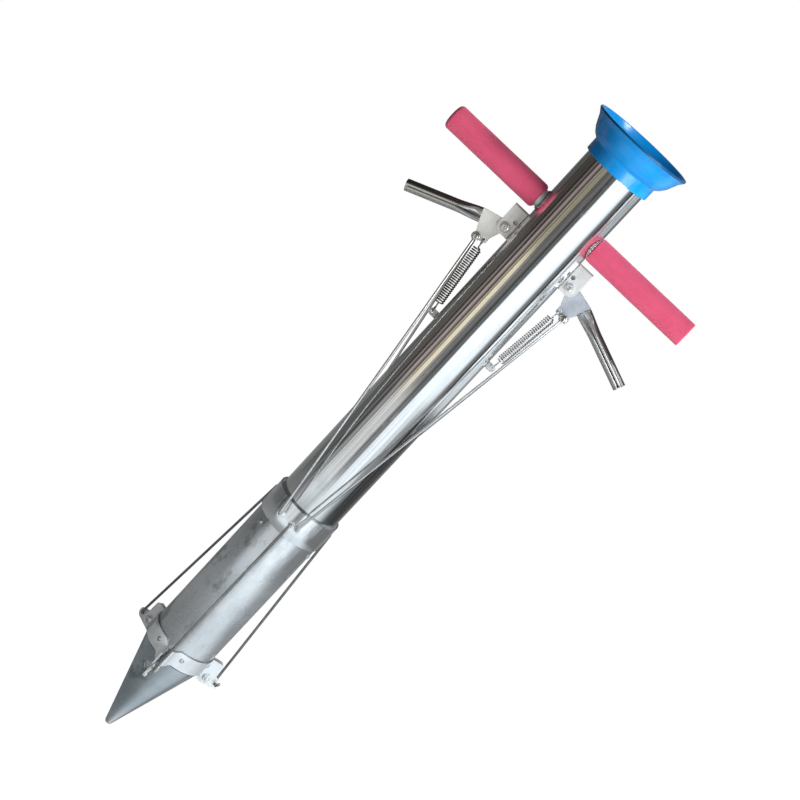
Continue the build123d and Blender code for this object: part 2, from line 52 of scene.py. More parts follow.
# Sizes repeated from the part
TUBE_R, BORE_R, TUBE_LOW, TUBE_TOP = 38.0, 37.0, 300.0, 886.0
SLEEVE_R, SLEEVE_IN_R, SLEEVE_LOW, SLEEVE_TOP = 40.0, 38.05, 128.0, 371.0
GRIP_Z, BAR_R, BAR_WALL, BAR_END, GRIP_R, GRIP_OUT = 799.5, 11.0, 1.5, 166.0, 15.15, 171.3
LEVER_X, LEVER_Z, CHEEK_OUT = 48.0, 751.0, 3.8
BOLT_R, BOLT_HEAD_R, BOLT_HEAD_H, NUT_R, NUT_H, THREAD_END = 2.95, 4.6, 2.6, 5.4, 4.2, 2.0
WASHER_R, WASHER_H = 6.2, 0.8
PIN_X, PIN_Z, PIN_R, PIN_HEAD_R, PIN_HEAD_H, PIN_HALF = 65.0, 722.0, 1.9, 3.2, 1.2, 5.3
SPRING_X, SPRING_Z, ANCHOR_X, ANCHOR_Z = 56.5, 726.0, 45.0, 628.0
SPRING_R, SPRING_WIRE_R, HOOK_R, HOOK_REACH, SPRING_TURNS = 5.5, 0.8, 3.6, 12.0, 27
MOUTH_X, MOUTH_Z, HANDLE_SLOPE, HANDLE_LENGTH = 76.3, 742.2, 21.4, 88.9
HANDLE_R, HANDLE_WALL, MOUTH_W, MOUTH_T, HANDLE_TAPER = 7.0, 1.2, 17.0, 6.4, 30.0
COLLAR_IN_R, COLLAR_R, COLLAR_LOW, COLLAR_H = 40.08, 41.68, 336.0, 36.0
BUSH_Z, PULL_X, ROD_LEG_R, WIRE_R, EYE_R, EYE_Y = 353.0, 13.0, 47.58, 1.6, 3.75, 3.4
ROD_SIDE, ROD_BEND, FOOT_BEND, TAIL_LENGTH, TAIL_SLOPE = 4.0, 3.0, 2.5, 9.0, 55.0
LUGS = {"front": -90.0, "right": 30.0, "left": 150.0}
JAW_PIVOT_R, JAW_PIVOT_Z, ROD_HOLE_R, ROD_HOLE_Z, ARM_T = 53.5, 119.5, 68.4, 116.6, 3.0
PETAL_BASE_R, PETAL_TOP, PETAL_WALL, PETAL_GAP, PETAL_RELIEF, TIP_R = 39.5, 126.5, 1.5, 0.4, 1.2, 5.0
BAND_IN_R, BAND_R, BAND_LOW, BAND_H, BAND_T, EAR_TOP = 40.05, 41.55, 128.5, 21.0, 1.5, 144.0
EAR_FACE, EAR_BACK, EAR_EYE_R, EAR_CORNER, EAR_REACH = 1.8, 3.3, 8.5, 4.0, 19.5
RIVET_HEAD_R, RIVET_HEAD_H, TUBE_RIVET_Z, TUBE_RIVET_AZ = 3.0, 1.5, 326.0, -128.0
BAND_RIVET_Z, BAND_RIVET_SIDE = 141.0, 18.0

# Sizes of the looks alone
TUBE_SIDES, BOLT_SIDES, FOAM_ROWS, STRAP_STEPS = 160, 96, 36, 49
MERGE_GAP, CAD_MERGE_GAP, THIN_EDGE = 2e-7, 2e-6, 1e-8
FLAT_DEG, CUT_SHARP_DEG, ROUND_FROM_DEG = 0.6, 32.0, 42.0
CUT_EDGE, TAB_EDGE, BUSH_EDGE, TUBE_EDGE, SLEEVE_EDGE = 0.35, 0.3, 0.4, 0.4, 0.5
FOAM_SAG, FOAM_END, FOAM_FILL, FOAM_FIT, FOAM_EDGE = 0.12, 9.0, 0.95, 0.05, 0.4
FOAM_LONG_WAVE, FOAM_SHORT_WAVE = 17.0, 7.3
BEAD_STEP, BEAD_RIPPLE, BEAD_UNEVEN, SADDLE_RISE = 1.6, 0.22, 0.18, 0.4
FORK_SEAM, FORK_SEAM_RISE, FORK_SEAM_OUT, FORK_BEAD_R = (742.6, 777.0), 0.3, 0.2, 0.9
TAB_SEAM, TAB_SEAM_RISE, TAB_SEAM_Y = (624.2, 631.8), 0.25, 1.3
ARM_SEAM, ARM_SEAM_RISE, ARM_SEAM_SIDE, ARM_BEAD_R = (106.5, 121.0), 0.3, 1.9, 0.85
SLOT_AT, SLOT_HALF, SLOT_UP, SLOT_DOWN, MOUTH_FIT = 8.5, 5.0, 3.0, 0.9, 0.05
LIP_TURN, NOTCH_REACH, KNOB_REACH, KNOB_RISE, LOBE_STEEP = 0.5, 3.0, 6.0, 0.35, 3.0
GROOVE, GROOVE_MOUTH, GROOVE_HALF = 0.10, 0.30, 1.4
THREAD_IN, THREAD_WAVE, POINT_H, POINT_IN, NUT_FIT = 0.25, 0.22, 0.4, 0.7, 0.02
RECESS_DEPTH, RECESS_HALF, RECESS_REACH, RECESS_FADE = 1.2, 0.09, 0.62, 0.12
WASHER_EDGE, NUT_EDGE, NUT_CHAMFER, NUT_CUT, RIVET_SINK = 0.2, 0.25, 0.6, 1.07, 0.35
SHANK_SHARE, COIL_STEPS = 0.12, 26
PULL_ROOT_R, PULL_THIN, LINK_ROOT_R, EYE_LEAD, ARM_PLAY = 39.8, 0.05, 39.6, 3.0, 0.3
HOOK_ARC, EYE_ARC = (-150, 178), (-178, 128)
BEND_SIDE, BEND_OUT, SWELL_SHARE, EAR_FIT = 2.2, 2.4, 0.10, 0.05
# Radii of the funnel lip's outer face that takes a band of painted shade
LIP_SHADE_BAND = (0.0598, 0.0602)


def unit(v):
    """Vectors of length one: each vector over its own length."""
    v = np.asarray(v, float)
    return v / np.linalg.norm(v, axis=-1, keepdims=True)


def smooth(share):
    """Ease in and out from nought to one: three times the square less twice the cube."""
    return share * share * (3 - 2 * share)


def out_at(azimuth):
    """Unit vector that points away from the tube's axis at an azimuth in degrees."""
    a = np.radians(azimuth)
    return np.array([np.cos(a), np.sin(a), 0.0])


def side_at(azimuth):
    """Unit vector counter-clockwise round the tube's axis at an azimuth in degrees."""
    return np.cross(UP, out_at(azimuth))


def grid_faces(rows, cols):
    """Quads of a point grid: each point with its next in the row and the two in the next row."""
    k = np.arange(rows * cols).reshape(rows, cols)
    return np.stack([k[:-1, :-1], k[:-1, 1:], k[1:, 1:], k[1:, :-1]], -1).reshape(-1, 4)


def patch(points):
    """A surface from a grid of points: the flat list of points and its quads."""
    rows, cols = points.shape[:2]
    return points.reshape(-1, 3), grid_faces(rows, cols)


def skin(outer, inner, wrap=False):
    """A walled sheet: an outer and an inner point grid, joined by quads along their free edges."""
    rows, cols = outer.shape[:2]
    count = rows * cols
    k = np.arange(count).reshape(rows, cols)
    edges = [k[0], k[-1]] if wrap else [np.concatenate([k[0], k[1:, -1], k[-1, -2::-1], k[-2::-1, 0]])]
    rims = [np.stack([e[:-1], e[1:], e[1:] + count, e[:-1] + count], -1) for e in edges]
    faces = grid_faces(rows, cols)
    points = np.concatenate([outer.reshape(-1, 3), inner.reshape(-1, 3)])
    return points, np.concatenate([faces, faces[:, ::-1] + count, *rims])


def rounded(points, radii, steps=9):
    """A bent line: every inner corner is replaced by the circle arc of its radius, as a rational curve."""
    p = np.asarray(points, float)
    before, corner, after = p[:-2], p[1:-1], p[2:]
    u, v = unit(before - corner), unit(after - corner)
    half = np.arccos(np.clip((u * v).sum(-1), -1, 1)) / 2
    back = (np.asarray(radii, float) / np.tan(half))[:, None]
    a, b = corner + back * u, corner + back * v
    t = np.linspace(0, 1, steps)[None, :, None]
    w = np.sin(half)[:, None, None]
    weight = (1 - t) ** 2 + 2 * w * t * (1 - t) + t**2
    arc = ((1 - t) ** 2 * a[:, None] + 2 * w * t * (1 - t) * corner[:, None] + t**2 * b[:, None]) / weight
    return np.concatenate([p[:1], arc.reshape(-1, p.shape[1]), p[-1:]])


def round_grid(radius, height, origin, axis, beside):
    """A surface round an axis: grids of radius and height, each column at its own step of one full turn."""
    along = unit(axis)
    side = unit(np.cross(along, beside))
    turn = np.linspace(0, TURN, radius.shape[1])[:, None]
    ring = np.cos(turn) * side + np.sin(turn) * np.cross(along, side)
    return patch(np.asarray(origin, float) + radius[..., None] * ring + height[..., None] * along)


def turned(profile, origin=(0, 0, 0), axis=UP, segments=TUBE_SIDES):
    """A turned surface: profile points (radius, height) carried once round the axis."""
    beside = (0.0, 1.0, 0.0) if abs(unit(axis)[1]) < 0.9 else (1.0, 0.0, 0.0)
    r, h = np.asarray(profile, float).T[..., None]
    return round_grid(np.repeat(r, segments + 1, 1), h, origin, axis, beside)


def rod(path, radius, reference, sides=18, end=0.3):
    """A round wire: a circle of the radius carried along the path, with small chamfers at both ends. The
    reference is a direction that the path never takes."""
    p, reference = np.asarray(path, float), np.asarray(reference, float)
    r = np.broadcast_to(np.asarray(radius, float), len(p))
    run = np.gradient(p, axis=0)
    run[0], run[-1] = p[1] - p[0], p[-1] - p[-2]
    run = unit(run)
    first, last = p[0] + end * run[0], p[-1] - end * run[-1]
    p = np.concatenate([p[:1], p[:1], first[None], p[1:-1], last[None], p[-1:], p[-1:]])
    run = np.concatenate([run[:1]] * 3 + [run[1:-1]] + [run[-1:]] * 3)
    r = np.concatenate([[0.0, r[0] - end, r[0]], r[1:-1], [r[-1], r[-1] - end, 0.0]])
    side = unit(reference - (run @ reference)[:, None] * run)
    turn = np.linspace(0, TURN, sides + 1)[None, :, None]
    ring = np.cos(turn) * side[:, None] + np.sin(turn) * np.cross(run, side)[:, None]
    return patch(p[:, None] + r[:, None, None] * ring)


def eased(points):
    """A softened line: each run is cut at a quarter and three quarters of its length, twice over."""
    p = np.asarray(points, float)
    for _ in range(2):
        quarter, three = 0.75 * p[:-1] + 0.25 * p[1:], 0.25 * p[:-1] + 0.75 * p[1:]
        p = np.concatenate([p[:1], np.stack([quarter, three], 1).reshape(-1, p.shape[1]), p[-1:]])
    return p


def seat(obj, finish, body, nodes):
    """Give a piece its finish, its body and the solids it stands for."""
    scene.collection.objects.link(obj)
    obj.data.materials.clear()
    obj.data.materials.append(finish)
    if body:
        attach(obj, body)
    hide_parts(*nodes)
    return obj


def shade(mesh, sharp_deg):
    """Smooth shading with sharp edges above an angle."""
    mesh.shade_smooth()
    mesh.set_sharp_from_angle(angle=np.radians(sharp_deg))


def round_edges(obj, width):
    """Round a piece's sharp edges by a small radius in millimetres."""
    bevel = obj.modifiers.new("edge_round", "BEVEL")
    bevel.width = width * MM
    bevel.segments = 2
    bevel.limit_method = "ANGLE"
    bevel.angle_limit = np.radians(ROUND_FROM_DEG)
    bevel.harden_normals = True


def piece(name, patches, finish, nodes=(), body="frame", sharp_deg=38.0, bevel=0.0,
          shade_inside=False):
    """One object from closed patches: doubles merged, faces turned outwards, shaded smooth. It can mark its inner
    wall, where the finish paints shade."""
    starts = np.cumsum([0] + [len(p) for p, _ in patches[:-1]])
    points = np.concatenate([p for p, _ in patches]) * MM
    faces = np.concatenate([f + s for (_, f), s in zip(patches, starts)])
    mesh = bpy.data.meshes.new(name)
    mesh.from_pydata(points.tolist(), [], faces.tolist())
    # Marks the inner wall for the finish's painted shade.
    if shade_inside:
        inner = mesh.attributes.new("inner", "FLOAT", "POINT")
        inner.data.foreach_set("value", np.repeat([0.0, 1.0], len(points) // 2))
    work = bmesh.new()
    work.from_mesh(mesh)
    bmesh.ops.remove_doubles(work, verts=work.verts, dist=MERGE_GAP)
    bmesh.ops.dissolve_degenerate(work, edges=work.edges, dist=THIN_EDGE)
    bmesh.ops.recalc_face_normals(work, faces=work.faces)
    work.to_mesh(mesh)
    work.free()
    shade(mesh, sharp_deg)
    obj = seat(bpy.data.objects.new(name, mesh), finish, body, nodes)
    if bevel:
        round_edges(obj, bevel)
    return obj


def dressed(name, node, finish, body="frame", edge=CUT_EDGE):
    """A pressed or cut part: a merged copy of its solid with rounded edges."""
    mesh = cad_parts[node].data.copy()
    mesh.name = name
    work = bmesh.new()
    work.from_mesh(mesh)
    bmesh.ops.remove_doubles(work, verts=work.verts, dist=CAD_MERGE_GAP)
    bmesh.ops.dissolve_limit(work, angle_limit=np.radians(FLAT_DEG), verts=work.verts, edges=work.edges)
    work.to_mesh(mesh)
    work.free()
    shade(mesh, CUT_SHARP_DEG)
    round_edges(seat(bpy.data.objects.new(name, mesh), finish, body, (node,)), edge)


# Finishes
class Tree:
    """The node tree of a material or a world: nodes are added with their settings and fed."""

    def __init__(self, owner, bare=False):
        owner.use_nodes = True
        self.owner, self.tree = owner, owner.node_tree
        if bare:
            self.tree.nodes.clear()

    def feed(self, node, sockets):
        """Set each socket, by name or number, to a value, or link it."""
        for key, value in sockets.items():
            if isinstance(value, bpy.types.NodeSocket):
                self.tree.links.new(value, node.inputs[key])
            else:
                node.inputs[key].default_value = value

    def node(self, kind, sockets=None, **settings):
        """Add a node with its settings and sockets."""
        made = self.tree.nodes.new(kind)
        for key, value in settings.items():
            setattr(made, key, value)
        self.feed(made, sockets or {})
        return made

    def span(self, value, low, high, out_low=0.0, out_high=1.0):
        """A value between low and high brought to an output range, clamped."""
        sockets = {"Value": value, "From Min": low, "From Max": high, "To Min": out_low, "To Max": out_high}
        return self.node("ShaderNodeMapRange", sockets, clamp=True).outputs[0]

    def mixed(self, share, a, b):
        """Colour from a to b by a share."""
        return self.node("ShaderNodeMix", {0: share, 6: a, 7: b}, data_type="RGBA").outputs[2]

    def math(self, operation, a, b=0.0):
        """Sum, product or other combination of two values."""
        return self.node("ShaderNodeMath", {0: a, 1: b}, operation=operation).outputs[0]

    def plus(self, a, b):
        """Sum of two values."""
        return self.math("ADD", a, b)

    def times(self, a, b):
        """Product of two values."""
        return self.math("MULTIPLY", a, b)

    def seen(self):
        """One for rays from the camera, from a reflection or through glass, nought for the lamps' light."""
        rays = self.node("ShaderNodeLightPath").outputs
        seen = self.math("MAXIMUM", rays["Is Camera Ray"], rays["Is Glossy Ray"])
        return self.math("MAXIMUM", seen, rays["Is Transmission Ray"])

    def blended(self, share, a, b):
        """Shader from a to b by a share."""
        return self.node("ShaderNodeMixShader", {0: share, 1: a.outputs[0], 2: b.outputs[0]})

    def surface(self, shader, output="ShaderNodeOutputMaterial"):
        """Put a shader on the output."""
        self.node(output, {"Surface": shader.outputs[0]})
        return self.owner


class Finish(Tree):
    """A procedural material: a principled shader, with nodes laid on Object coordinates."""

    def __init__(self, name, **sockets):
        super().__init__(bpy.data.materials.new(name))
        coords = self.node("ShaderNodeTexCoord").outputs
        self.place, self.facing = coords["Object"], coords["Normal"]
        self.wear(**sockets)

    def wear(self, **sockets):
        """Feed the shader's own sockets."""
        self.feed(self.tree.nodes["Principled BSDF"], {key.replace("_", " "): v for key, v in sockets.items()})
        return self.owner

    def stretched(self, along, turn=(0.0, 0.0, 0.0)):
        """Object coordinates, turned and with their heights scaled."""
        sockets = {"Vector": self.place, "Scale": (1.0, 1.0, along), "Rotation": turn}
        return self.node("ShaderNodeMapping", sockets).outputs[0]

    def noise(self, scale, detail=3.0, vector=None, rough=0.5):
        """Noise value at a number of features per metre."""
        sockets = {"Vector": vector or self.place, "Scale": scale, "Detail": detail, "Roughness": rough}
        return self.node("ShaderNodeTexNoise", sockets).outputs[0]

    def along(self, vector, axis):
        """One coordinate of a vector."""
        return self.node("ShaderNodeSeparateXYZ", {"Vector": vector}).outputs[axis]

    def relief(self, height, depth, strength, under=None):
        """Bump of a depth in metres, laid over another one."""
        sockets = {"Height": height, "Distance": depth, "Strength": strength}
        return self.node("ShaderNodeBump", {**sockets, "Normal": under} if under else sockets).outputs[0]

    def cut_edge_shade(self, tone, axis, flat):
        """Darken faces that don't look along an axis (flat), or only those that do: the sheared edges, dark partly
        as real cut steel and partly as painted shade for the shadow gaps along them.
        """
        level = self.math("ABSOLUTE", self.along(self.facing, axis))
        share = self.span(level, 0.35, 0.75, *((0.85, 0.0) if flat else (0.0, 0.85)))
        return self.mixed(share, tone, (0.14, 0.14, 0.15, 1))


def polished_tube():
    """Bright rolled tube: belt-polished round the axis, with draw lines, fine pits, faint dents, scuffs and
    finger marks."""
    f = Finish("polished_tube", Metallic=1.0, Anisotropic=0.88)
    f.wear(Tangent=f.node("ShaderNodeCombineXYZ", {"Z": 1.0}).outputs[0])
    draw = f.noise(420.0, 4.0, f.stretched(0.02))
    dents = f.noise(15.0, 2.0, f.stretched(0.4))
    marks = f.span(f.noise(26.0, 5.0), 0.54, 0.74)
    scuffs = f.span(f.noise(150.0, 3.0, f.stretched(0.12, (0.0, 0.35, 0.2))), 0.66, 0.70)
    pits = f.span(f.noise(900.0, 2.0, f.stretched(0.5)), 0.70, 0.76)
    rough = f.plus(f.span(draw, 0.35, 0.7, 0.11, 0.16), f.times(marks, 0.04))
    rough = f.plus(rough, f.times(f.math("MAXIMUM", pits, scuffs), 0.22))
    tone = f.mixed(marks, (0.82, 0.82, 0.82, 1), (0.76, 0.765, 0.77, 1))
    tone = f.mixed(f.times(scuffs, 0.35), tone, (0.62, 0.60, 0.57, 1))
    tone = f.mixed(pits, tone, (0.42, 0.41, 0.40, 1))
    bump = f.relief(draw, 0.00003, 0.6, f.relief(dents, 0.0016, 0.32))
    return f.wear(Base_Color=tone, Roughness=rough, Normal=bump)


def satin_steel(name, tone_low, tone_high, gloss, metal, edges=False, worn_below=-1.0):
    """Ground steel: satin sheen, grinding lines, dark smudge marks made stronger towards the left (-X) side as
    painted shade, dull patches, a worn low end, and where asked dark rims: cut edges with painted shade along
    them."""
    f = Finish(name, Metallic=metal)
    grind = f.noise(900.0, 3.0, f.stretched(0.05))
    cloud = f.noise(22.0, 4.0)
    # Painted shade: the smudge marks are made stronger towards the left (-X) side.
    left_side_shade = f.span(f.along(f.place, "X"), -0.01, 0.01, 0.6, 0.15)
    marks = f.times(f.span(f.noise(40.0, 5.0, f.stretched(0.6), 0.62), 0.53, 0.62), left_side_shade)
    fleck = f.span(f.noise(420.0), 0.66, 0.74)
    tone = f.mixed(f.span(cloud, 0.3, 0.7), tone_low, tone_high)
    tone = f.mixed(marks, tone, (0.22, 0.23, 0.23, 1))
    tone = f.mixed(f.times(fleck, 0.08), tone, (0.84, 0.86, 0.87, 1))
    edge = f.plus(f.along(f.place, "Z"), f.span(grind, 0.2, 0.8, -0.012, 0.012))
    tone = f.mixed(f.span(edge, worn_below, worn_below + 0.03, 0.8, 0.0), tone, (0.86, 0.88, 0.89, 1))
    # Dark rims: cut edges, darkened partly as painted shade.
    if edges:
        tone = f.cut_edge_shade(tone, "Z", False)
    rough = f.plus(f.span(cloud, 0.3, 0.7, gloss, gloss + 0.08), f.span(grind, 0.3, 0.7, 0.0, 0.02))
    bump = f.relief(cloud, 0.0008, 0.12, f.relief(grind, 0.00003, 0.07))
    return f.wear(Base_Color=tone, Roughness=rough, Normal=bump)


def plated(name, tone_low, tone_high, gloss, metal, spots, edges=False):
    """Zinc-plated steel: pale grey with a fine spangle, dull rubbed patches, dark specks and, where asked, dark
    sheared edges, partly cut steel and partly painted shade.
    """
    f = Finish(name, Metallic=metal)
    spangle = f.noise(240.0, 4.0)
    rubbed = f.noise(60.0, 4.0)
    specks = f.span(f.noise(520.0, 2.0), 0.70, 0.76, 0.0, spots)
    tone = f.mixed(f.span(rubbed, 0.35, 0.65), tone_low, tone_high)
    tone = f.mixed(specks, tone, (0.30, 0.29, 0.28, 1))
    # Dark sheared edges: partly cut steel, partly painted shade.
    if edges:
        tone = f.cut_edge_shade(tone, "Y", True)
    rough = f.span(f.plus(spangle, rubbed), 0.7, 1.3, gloss, gloss + 0.10)
    return f.wear(Base_Color=tone, Roughness=rough, Normal=f.relief(spangle, 0.00004, 0.25))


def rolled_steel(name, gloss, shade_from_facing):
    """Rolled sheet: bright plating with faint waves and dull rubs, painted shade that darkens its upper side, and
    painted shade that darkens its dull inner wall."""
    f = Finish(name, Metallic=0.85)
    waves = f.noise(40.0, 2.0)
    rubs = f.span(f.noise(110.0, 4.0), 0.56, 0.70)
    inner = f.node("ShaderNodeAttribute", attribute_name="inner").outputs["Fac"]
    # Painted shade: faces that look upwards are darkened, from the given facing height on.
    painted_top_shade = f.span(f.along(f.facing, "Z"), shade_from_facing, shade_from_facing + 0.25, 0.0, 0.88)
    tone = f.mixed(rubs, (0.59, 0.59, 0.58, 1), (0.47, 0.46, 0.45, 1))
    tone = f.mixed(painted_top_shade, tone, (0.10, 0.10, 0.10, 1))
    # Painted shade: the inner wall is darkened nearly to black.
    tone = f.mixed(inner, tone, (0.03, 0.03, 0.03, 1))
    rough = f.plus(f.span(rubs, 0.0, 1.0, gloss, gloss + 0.12), f.times(inner, 0.4))
    return f.wear(Base_Color=tone, Roughness=rough, Normal=f.relief(waves, 0.0004, 0.2))


def weld_steel():
    """Weld bead: dull grey metal with brown heat colours and a coarse grain."""
    f = Finish("weld_steel", Metallic=1.0)
    heat = f.noise(190.0)
    grain = f.noise(900.0)
    tone = f.mixed(f.span(heat, 0.35, 0.62), (0.56, 0.56, 0.55, 1), (0.33, 0.30, 0.27, 1))
    rough = f.span(grain, 0.3, 0.7, 0.34, 0.55)
    return f.wear(Base_Color=tone, Roughness=rough, Normal=f.relief(grain, 0.0002, 0.5))


def pink_foam():
    """Closed-cell foam: matte pink skin with open pores darkened as painted shade, faint mottling and a soft rub
    of light.
    """
    f = Finish("pink_foam", Sheen_Weight=0.22, Sheen_Roughness=0.5, Sheen_Tint=(1.0, 0.72, 0.78, 1),
               Specular_IOR_Level=0.25)
    mottle = f.noise(60.0, 4.0)
    cells = f.node("ShaderNodeTexVoronoi", {"Vector": f.place, "Scale": 1500.0}, feature="F1")
    pores = cells.outputs["Distance"]
    grain = f.noise(1800.0)
    tone = f.mixed(f.span(mottle, 0.3, 0.7), (0.66, 0.082, 0.168, 1), (0.71, 0.098, 0.194, 1))
    # Painted shade: the open pores are darkened.
    tone = f.mixed(f.span(pores, 0.0, 0.30, 0.35, 0.0), tone, (0.36, 0.02, 0.06, 1))
    bump = f.relief(grain, 0.0002, 0.35, f.relief(pores, 0.00035, 0.45))
    return f.wear(Base_Color=tone, Roughness=f.span(grain, 0.3, 0.7, 0.78, 0.92), Normal=bump)


def blue_plastic():
    """Moulded blue plastic: glossy skin with faint flow marks, orange peel, fine rubs, and painted shade as a dark
    band on the lip's outer face.
    """
    f = Finish("blue_plastic", Coat_Weight=0.28, Coat_Roughness=0.06, Specular_IOR_Level=0.42)
    flow = f.noise(30.0, 3.0, f.stretched(2.2))
    peel = f.noise(380.0, 2.0)
    rubs = f.span(f.noise(700.0, 3.0, f.stretched(0.2)), 0.64, 0.74)
    reach = f.node("ShaderNodeVectorMath", {"Vector": f.stretched(0.0)}, operation="LENGTH").outputs["Value"]
    tone = f.mixed(f.span(flow, 0.3, 0.7), (0.0012, 0.255, 0.68, 1), (0.002, 0.295, 0.76, 1))
    tone = f.mixed(f.times(rubs, 0.08), tone, (0.45, 0.70, 0.92, 1))
    # Painted shade: a dark band on the lip's outer face.
    tone = f.mixed(f.span(reach, *LIP_SHADE_BAND, 0.0, 0.85), tone, (0.002, 0.03, 0.09, 1))
    rough = f.plus(f.span(flow, 0.3, 0.7, 0.18, 0.26), f.times(rubs, 0.16))
    return f.wear(Base_Color=tone, Roughness=rough, Normal=f.relief(peel, 0.00008, 0.35))


polished, weld, foam, blue = polished_tube(), weld_steel(), pink_foam(), blue_plastic()

# Rows of a name, the darker and the lighter tone, the gloss, the share of metal, then whether the edges are
# dark and where the wear ends
satin, collar_steel, strap_steel, pale_strap, petal_steel = (satin_steel(*row) for row in (
    ("satin_sleeve", (0.66, 0.695, 0.72, 1), (0.78, 0.815, 0.84, 1), 0.22, 0.88),
    ("satin_collar", (0.83, 0.86, 0.88, 1), (0.93, 0.96, 0.98, 1), 0.11, 0.92, True),
    ("satin_straps", (0.70, 0.74, 0.77, 1), (0.80, 0.84, 0.87, 1), 0.28, 0.70, True),
    # A lighter, less metallic copy of the strap finish for the left strap: painted light.
    ("pale_strap", (0.88, 0.92, 0.94, 1), (0.95, 0.98, 1.0, 1), 0.30, 0.30, True),
    ("satin_petals", (0.55, 0.61, 0.64, 1), (0.69, 0.75, 0.79, 1), 0.24, 0.92, False, 0.012),
))
# The same for plated steel, with the share of dark specks before the edges. The blue-grey one is a painted
# reflection.
zinc, plate_steel, reflection_tinted_plate, bolt_steel, wire_steel, dark_wire, pale_weld = (plated(*row) for row in (
    ("pale_zinc", (0.64, 0.67, 0.68, 1), (0.76, 0.79, 0.80, 1), 0.36, 0.40, 0.2),
    ("cut_plate", (0.81, 0.81, 0.79, 1), (0.92, 0.92, 0.90, 1), 0.34, 0.25, 0.2, True),
    ("blued_plate", (0.44, 0.50, 0.57, 1), (0.58, 0.64, 0.71, 1), 0.30, 0.40, 0.3, True),
    ("bright_bolts", (0.76, 0.76, 0.76, 1), (0.88, 0.88, 0.88, 1), 0.20, 0.75, 0.2),
    ("drawn_wire", (0.66, 0.67, 0.68, 1), (0.80, 0.81, 0.82, 1), 0.15, 1.0, 0.3),
    # A darker copy of the drawn wire: painted shade, for the left spring and the link rods.
    ("dark_wire", (0.24, 0.24, 0.23, 1), (0.36, 0.36, 0.35, 1), 0.18, 1.0, 0.3),
    ("pale_weld", (0.62, 0.60, 0.58, 1), (0.90, 0.90, 0.90, 1), 0.22, 0.85, 0.5),
))
# Both handles carry painted shade on their upper sides; the left one starts lower, so it has more.
oiled_handle = rolled_steel("oiled_handle", gloss=0.20, shade_from_facing=0.15)
bright_handle = rolled_steel("bright_handle", gloss=0.28, shade_from_facing=0.40)


# Tubes
def sleeve_profile(out_r, in_r, low, high, edge):
    """Wall section of a round sleeve: a rectangle of radius and height with rounded rims."""
    middle = (low + high) / 2
    corners = [(in_r, middle), (in_r, low), (out_r, low), (out_r, high), (in_r, high), (in_r, middle)]
    return rounded(corners, [edge] * 4, steps=4)


def funnel_profile():
    """Wall section of the funnel: skirt, swelling shoulder, bowl and flared lip, then back down inside."""
    outer = [(41.45, 873.0), (41.45, 886.8), (46.4, 890.6), (50.6, 896.2), (53.6, 902.6), (56.0, 908.0),
             (60.4, 914.0), (60.4, 916.0)]
    inner = [(58.4, 916.0), (54.2, 909.2), (51.3, 903.2), (48.4, 897.8), (44.4, 892.8), (37.0, 889.6),
             (37.0, 886.05), (38.05, 886.05), (38.05, 873.0)]
    radii = [2.6, 9.0, 12.0, 14.0, 5.0, 0.8, 0.9, 1.8, 14.0, 12.0, 8.0, 3.0, 0.4, 0.3, 0.6]
    start = (39.7, 873.0)
    return rounded([start, *outer, *inner, start], [0.7, *radii, 0.6], steps=6)


for name, profile, finish, body, slot, node in (
    ("feed_tube", sleeve_profile(TUBE_R, BORE_R, TUBE_LOW, TUBE_TOP, TUBE_EDGE),
     polished, "frame", "polished_steel", "main_tube"),
    ("lower_sleeve", sleeve_profile(SLEEVE_R, SLEEVE_IN_R, SLEEVE_LOW, SLEEVE_TOP, SLEEVE_EDGE),
     satin, "frame", "satin_steel", "lower_tube"),
    ("sliding_collar", sleeve_profile(COLLAR_R, COLLAR_IN_R, COLLAR_LOW, COLLAR_LOW + COLLAR_H, SLEEVE_EDGE),
     collar_steel, "collar", "satin_steel", "collar"),
    ("feed_funnel_shell", funnel_profile(), blue, "frame", "blue_plastic", "feed_funnel"),
):
    piece(name, [turned(profile)], finish, [node], body)


# Hand grips
def tube_side(y):
    """Half width of the feed tube at a distance before its axis: the root of radius squared less y squared."""
    return np.sqrt(TUBE_R**2 - y**2)


def coped_bar(sign):
    """Stub tube: a circle carried from the feed tube's round side out to the bar's end, with its wall."""
    turn = np.linspace(0, TURN, 49)[None, :]
    run = np.linspace(0, 1, 9)[:, None]

    def wall(r):
        """A circle of radius r, each of its points run straight out from the feed tube's side."""
        y, z = r * np.cos(turn), GRIP_Z + r * np.sin(turn)
        root = tube_side(y)
        x = sign * (root + run * (BAR_END - root))
        return np.stack(np.broadcast_arrays(x, y, z), -1)

    return skin(wall(BAR_R), wall(BAR_R - BAR_WALL), wrap=True)


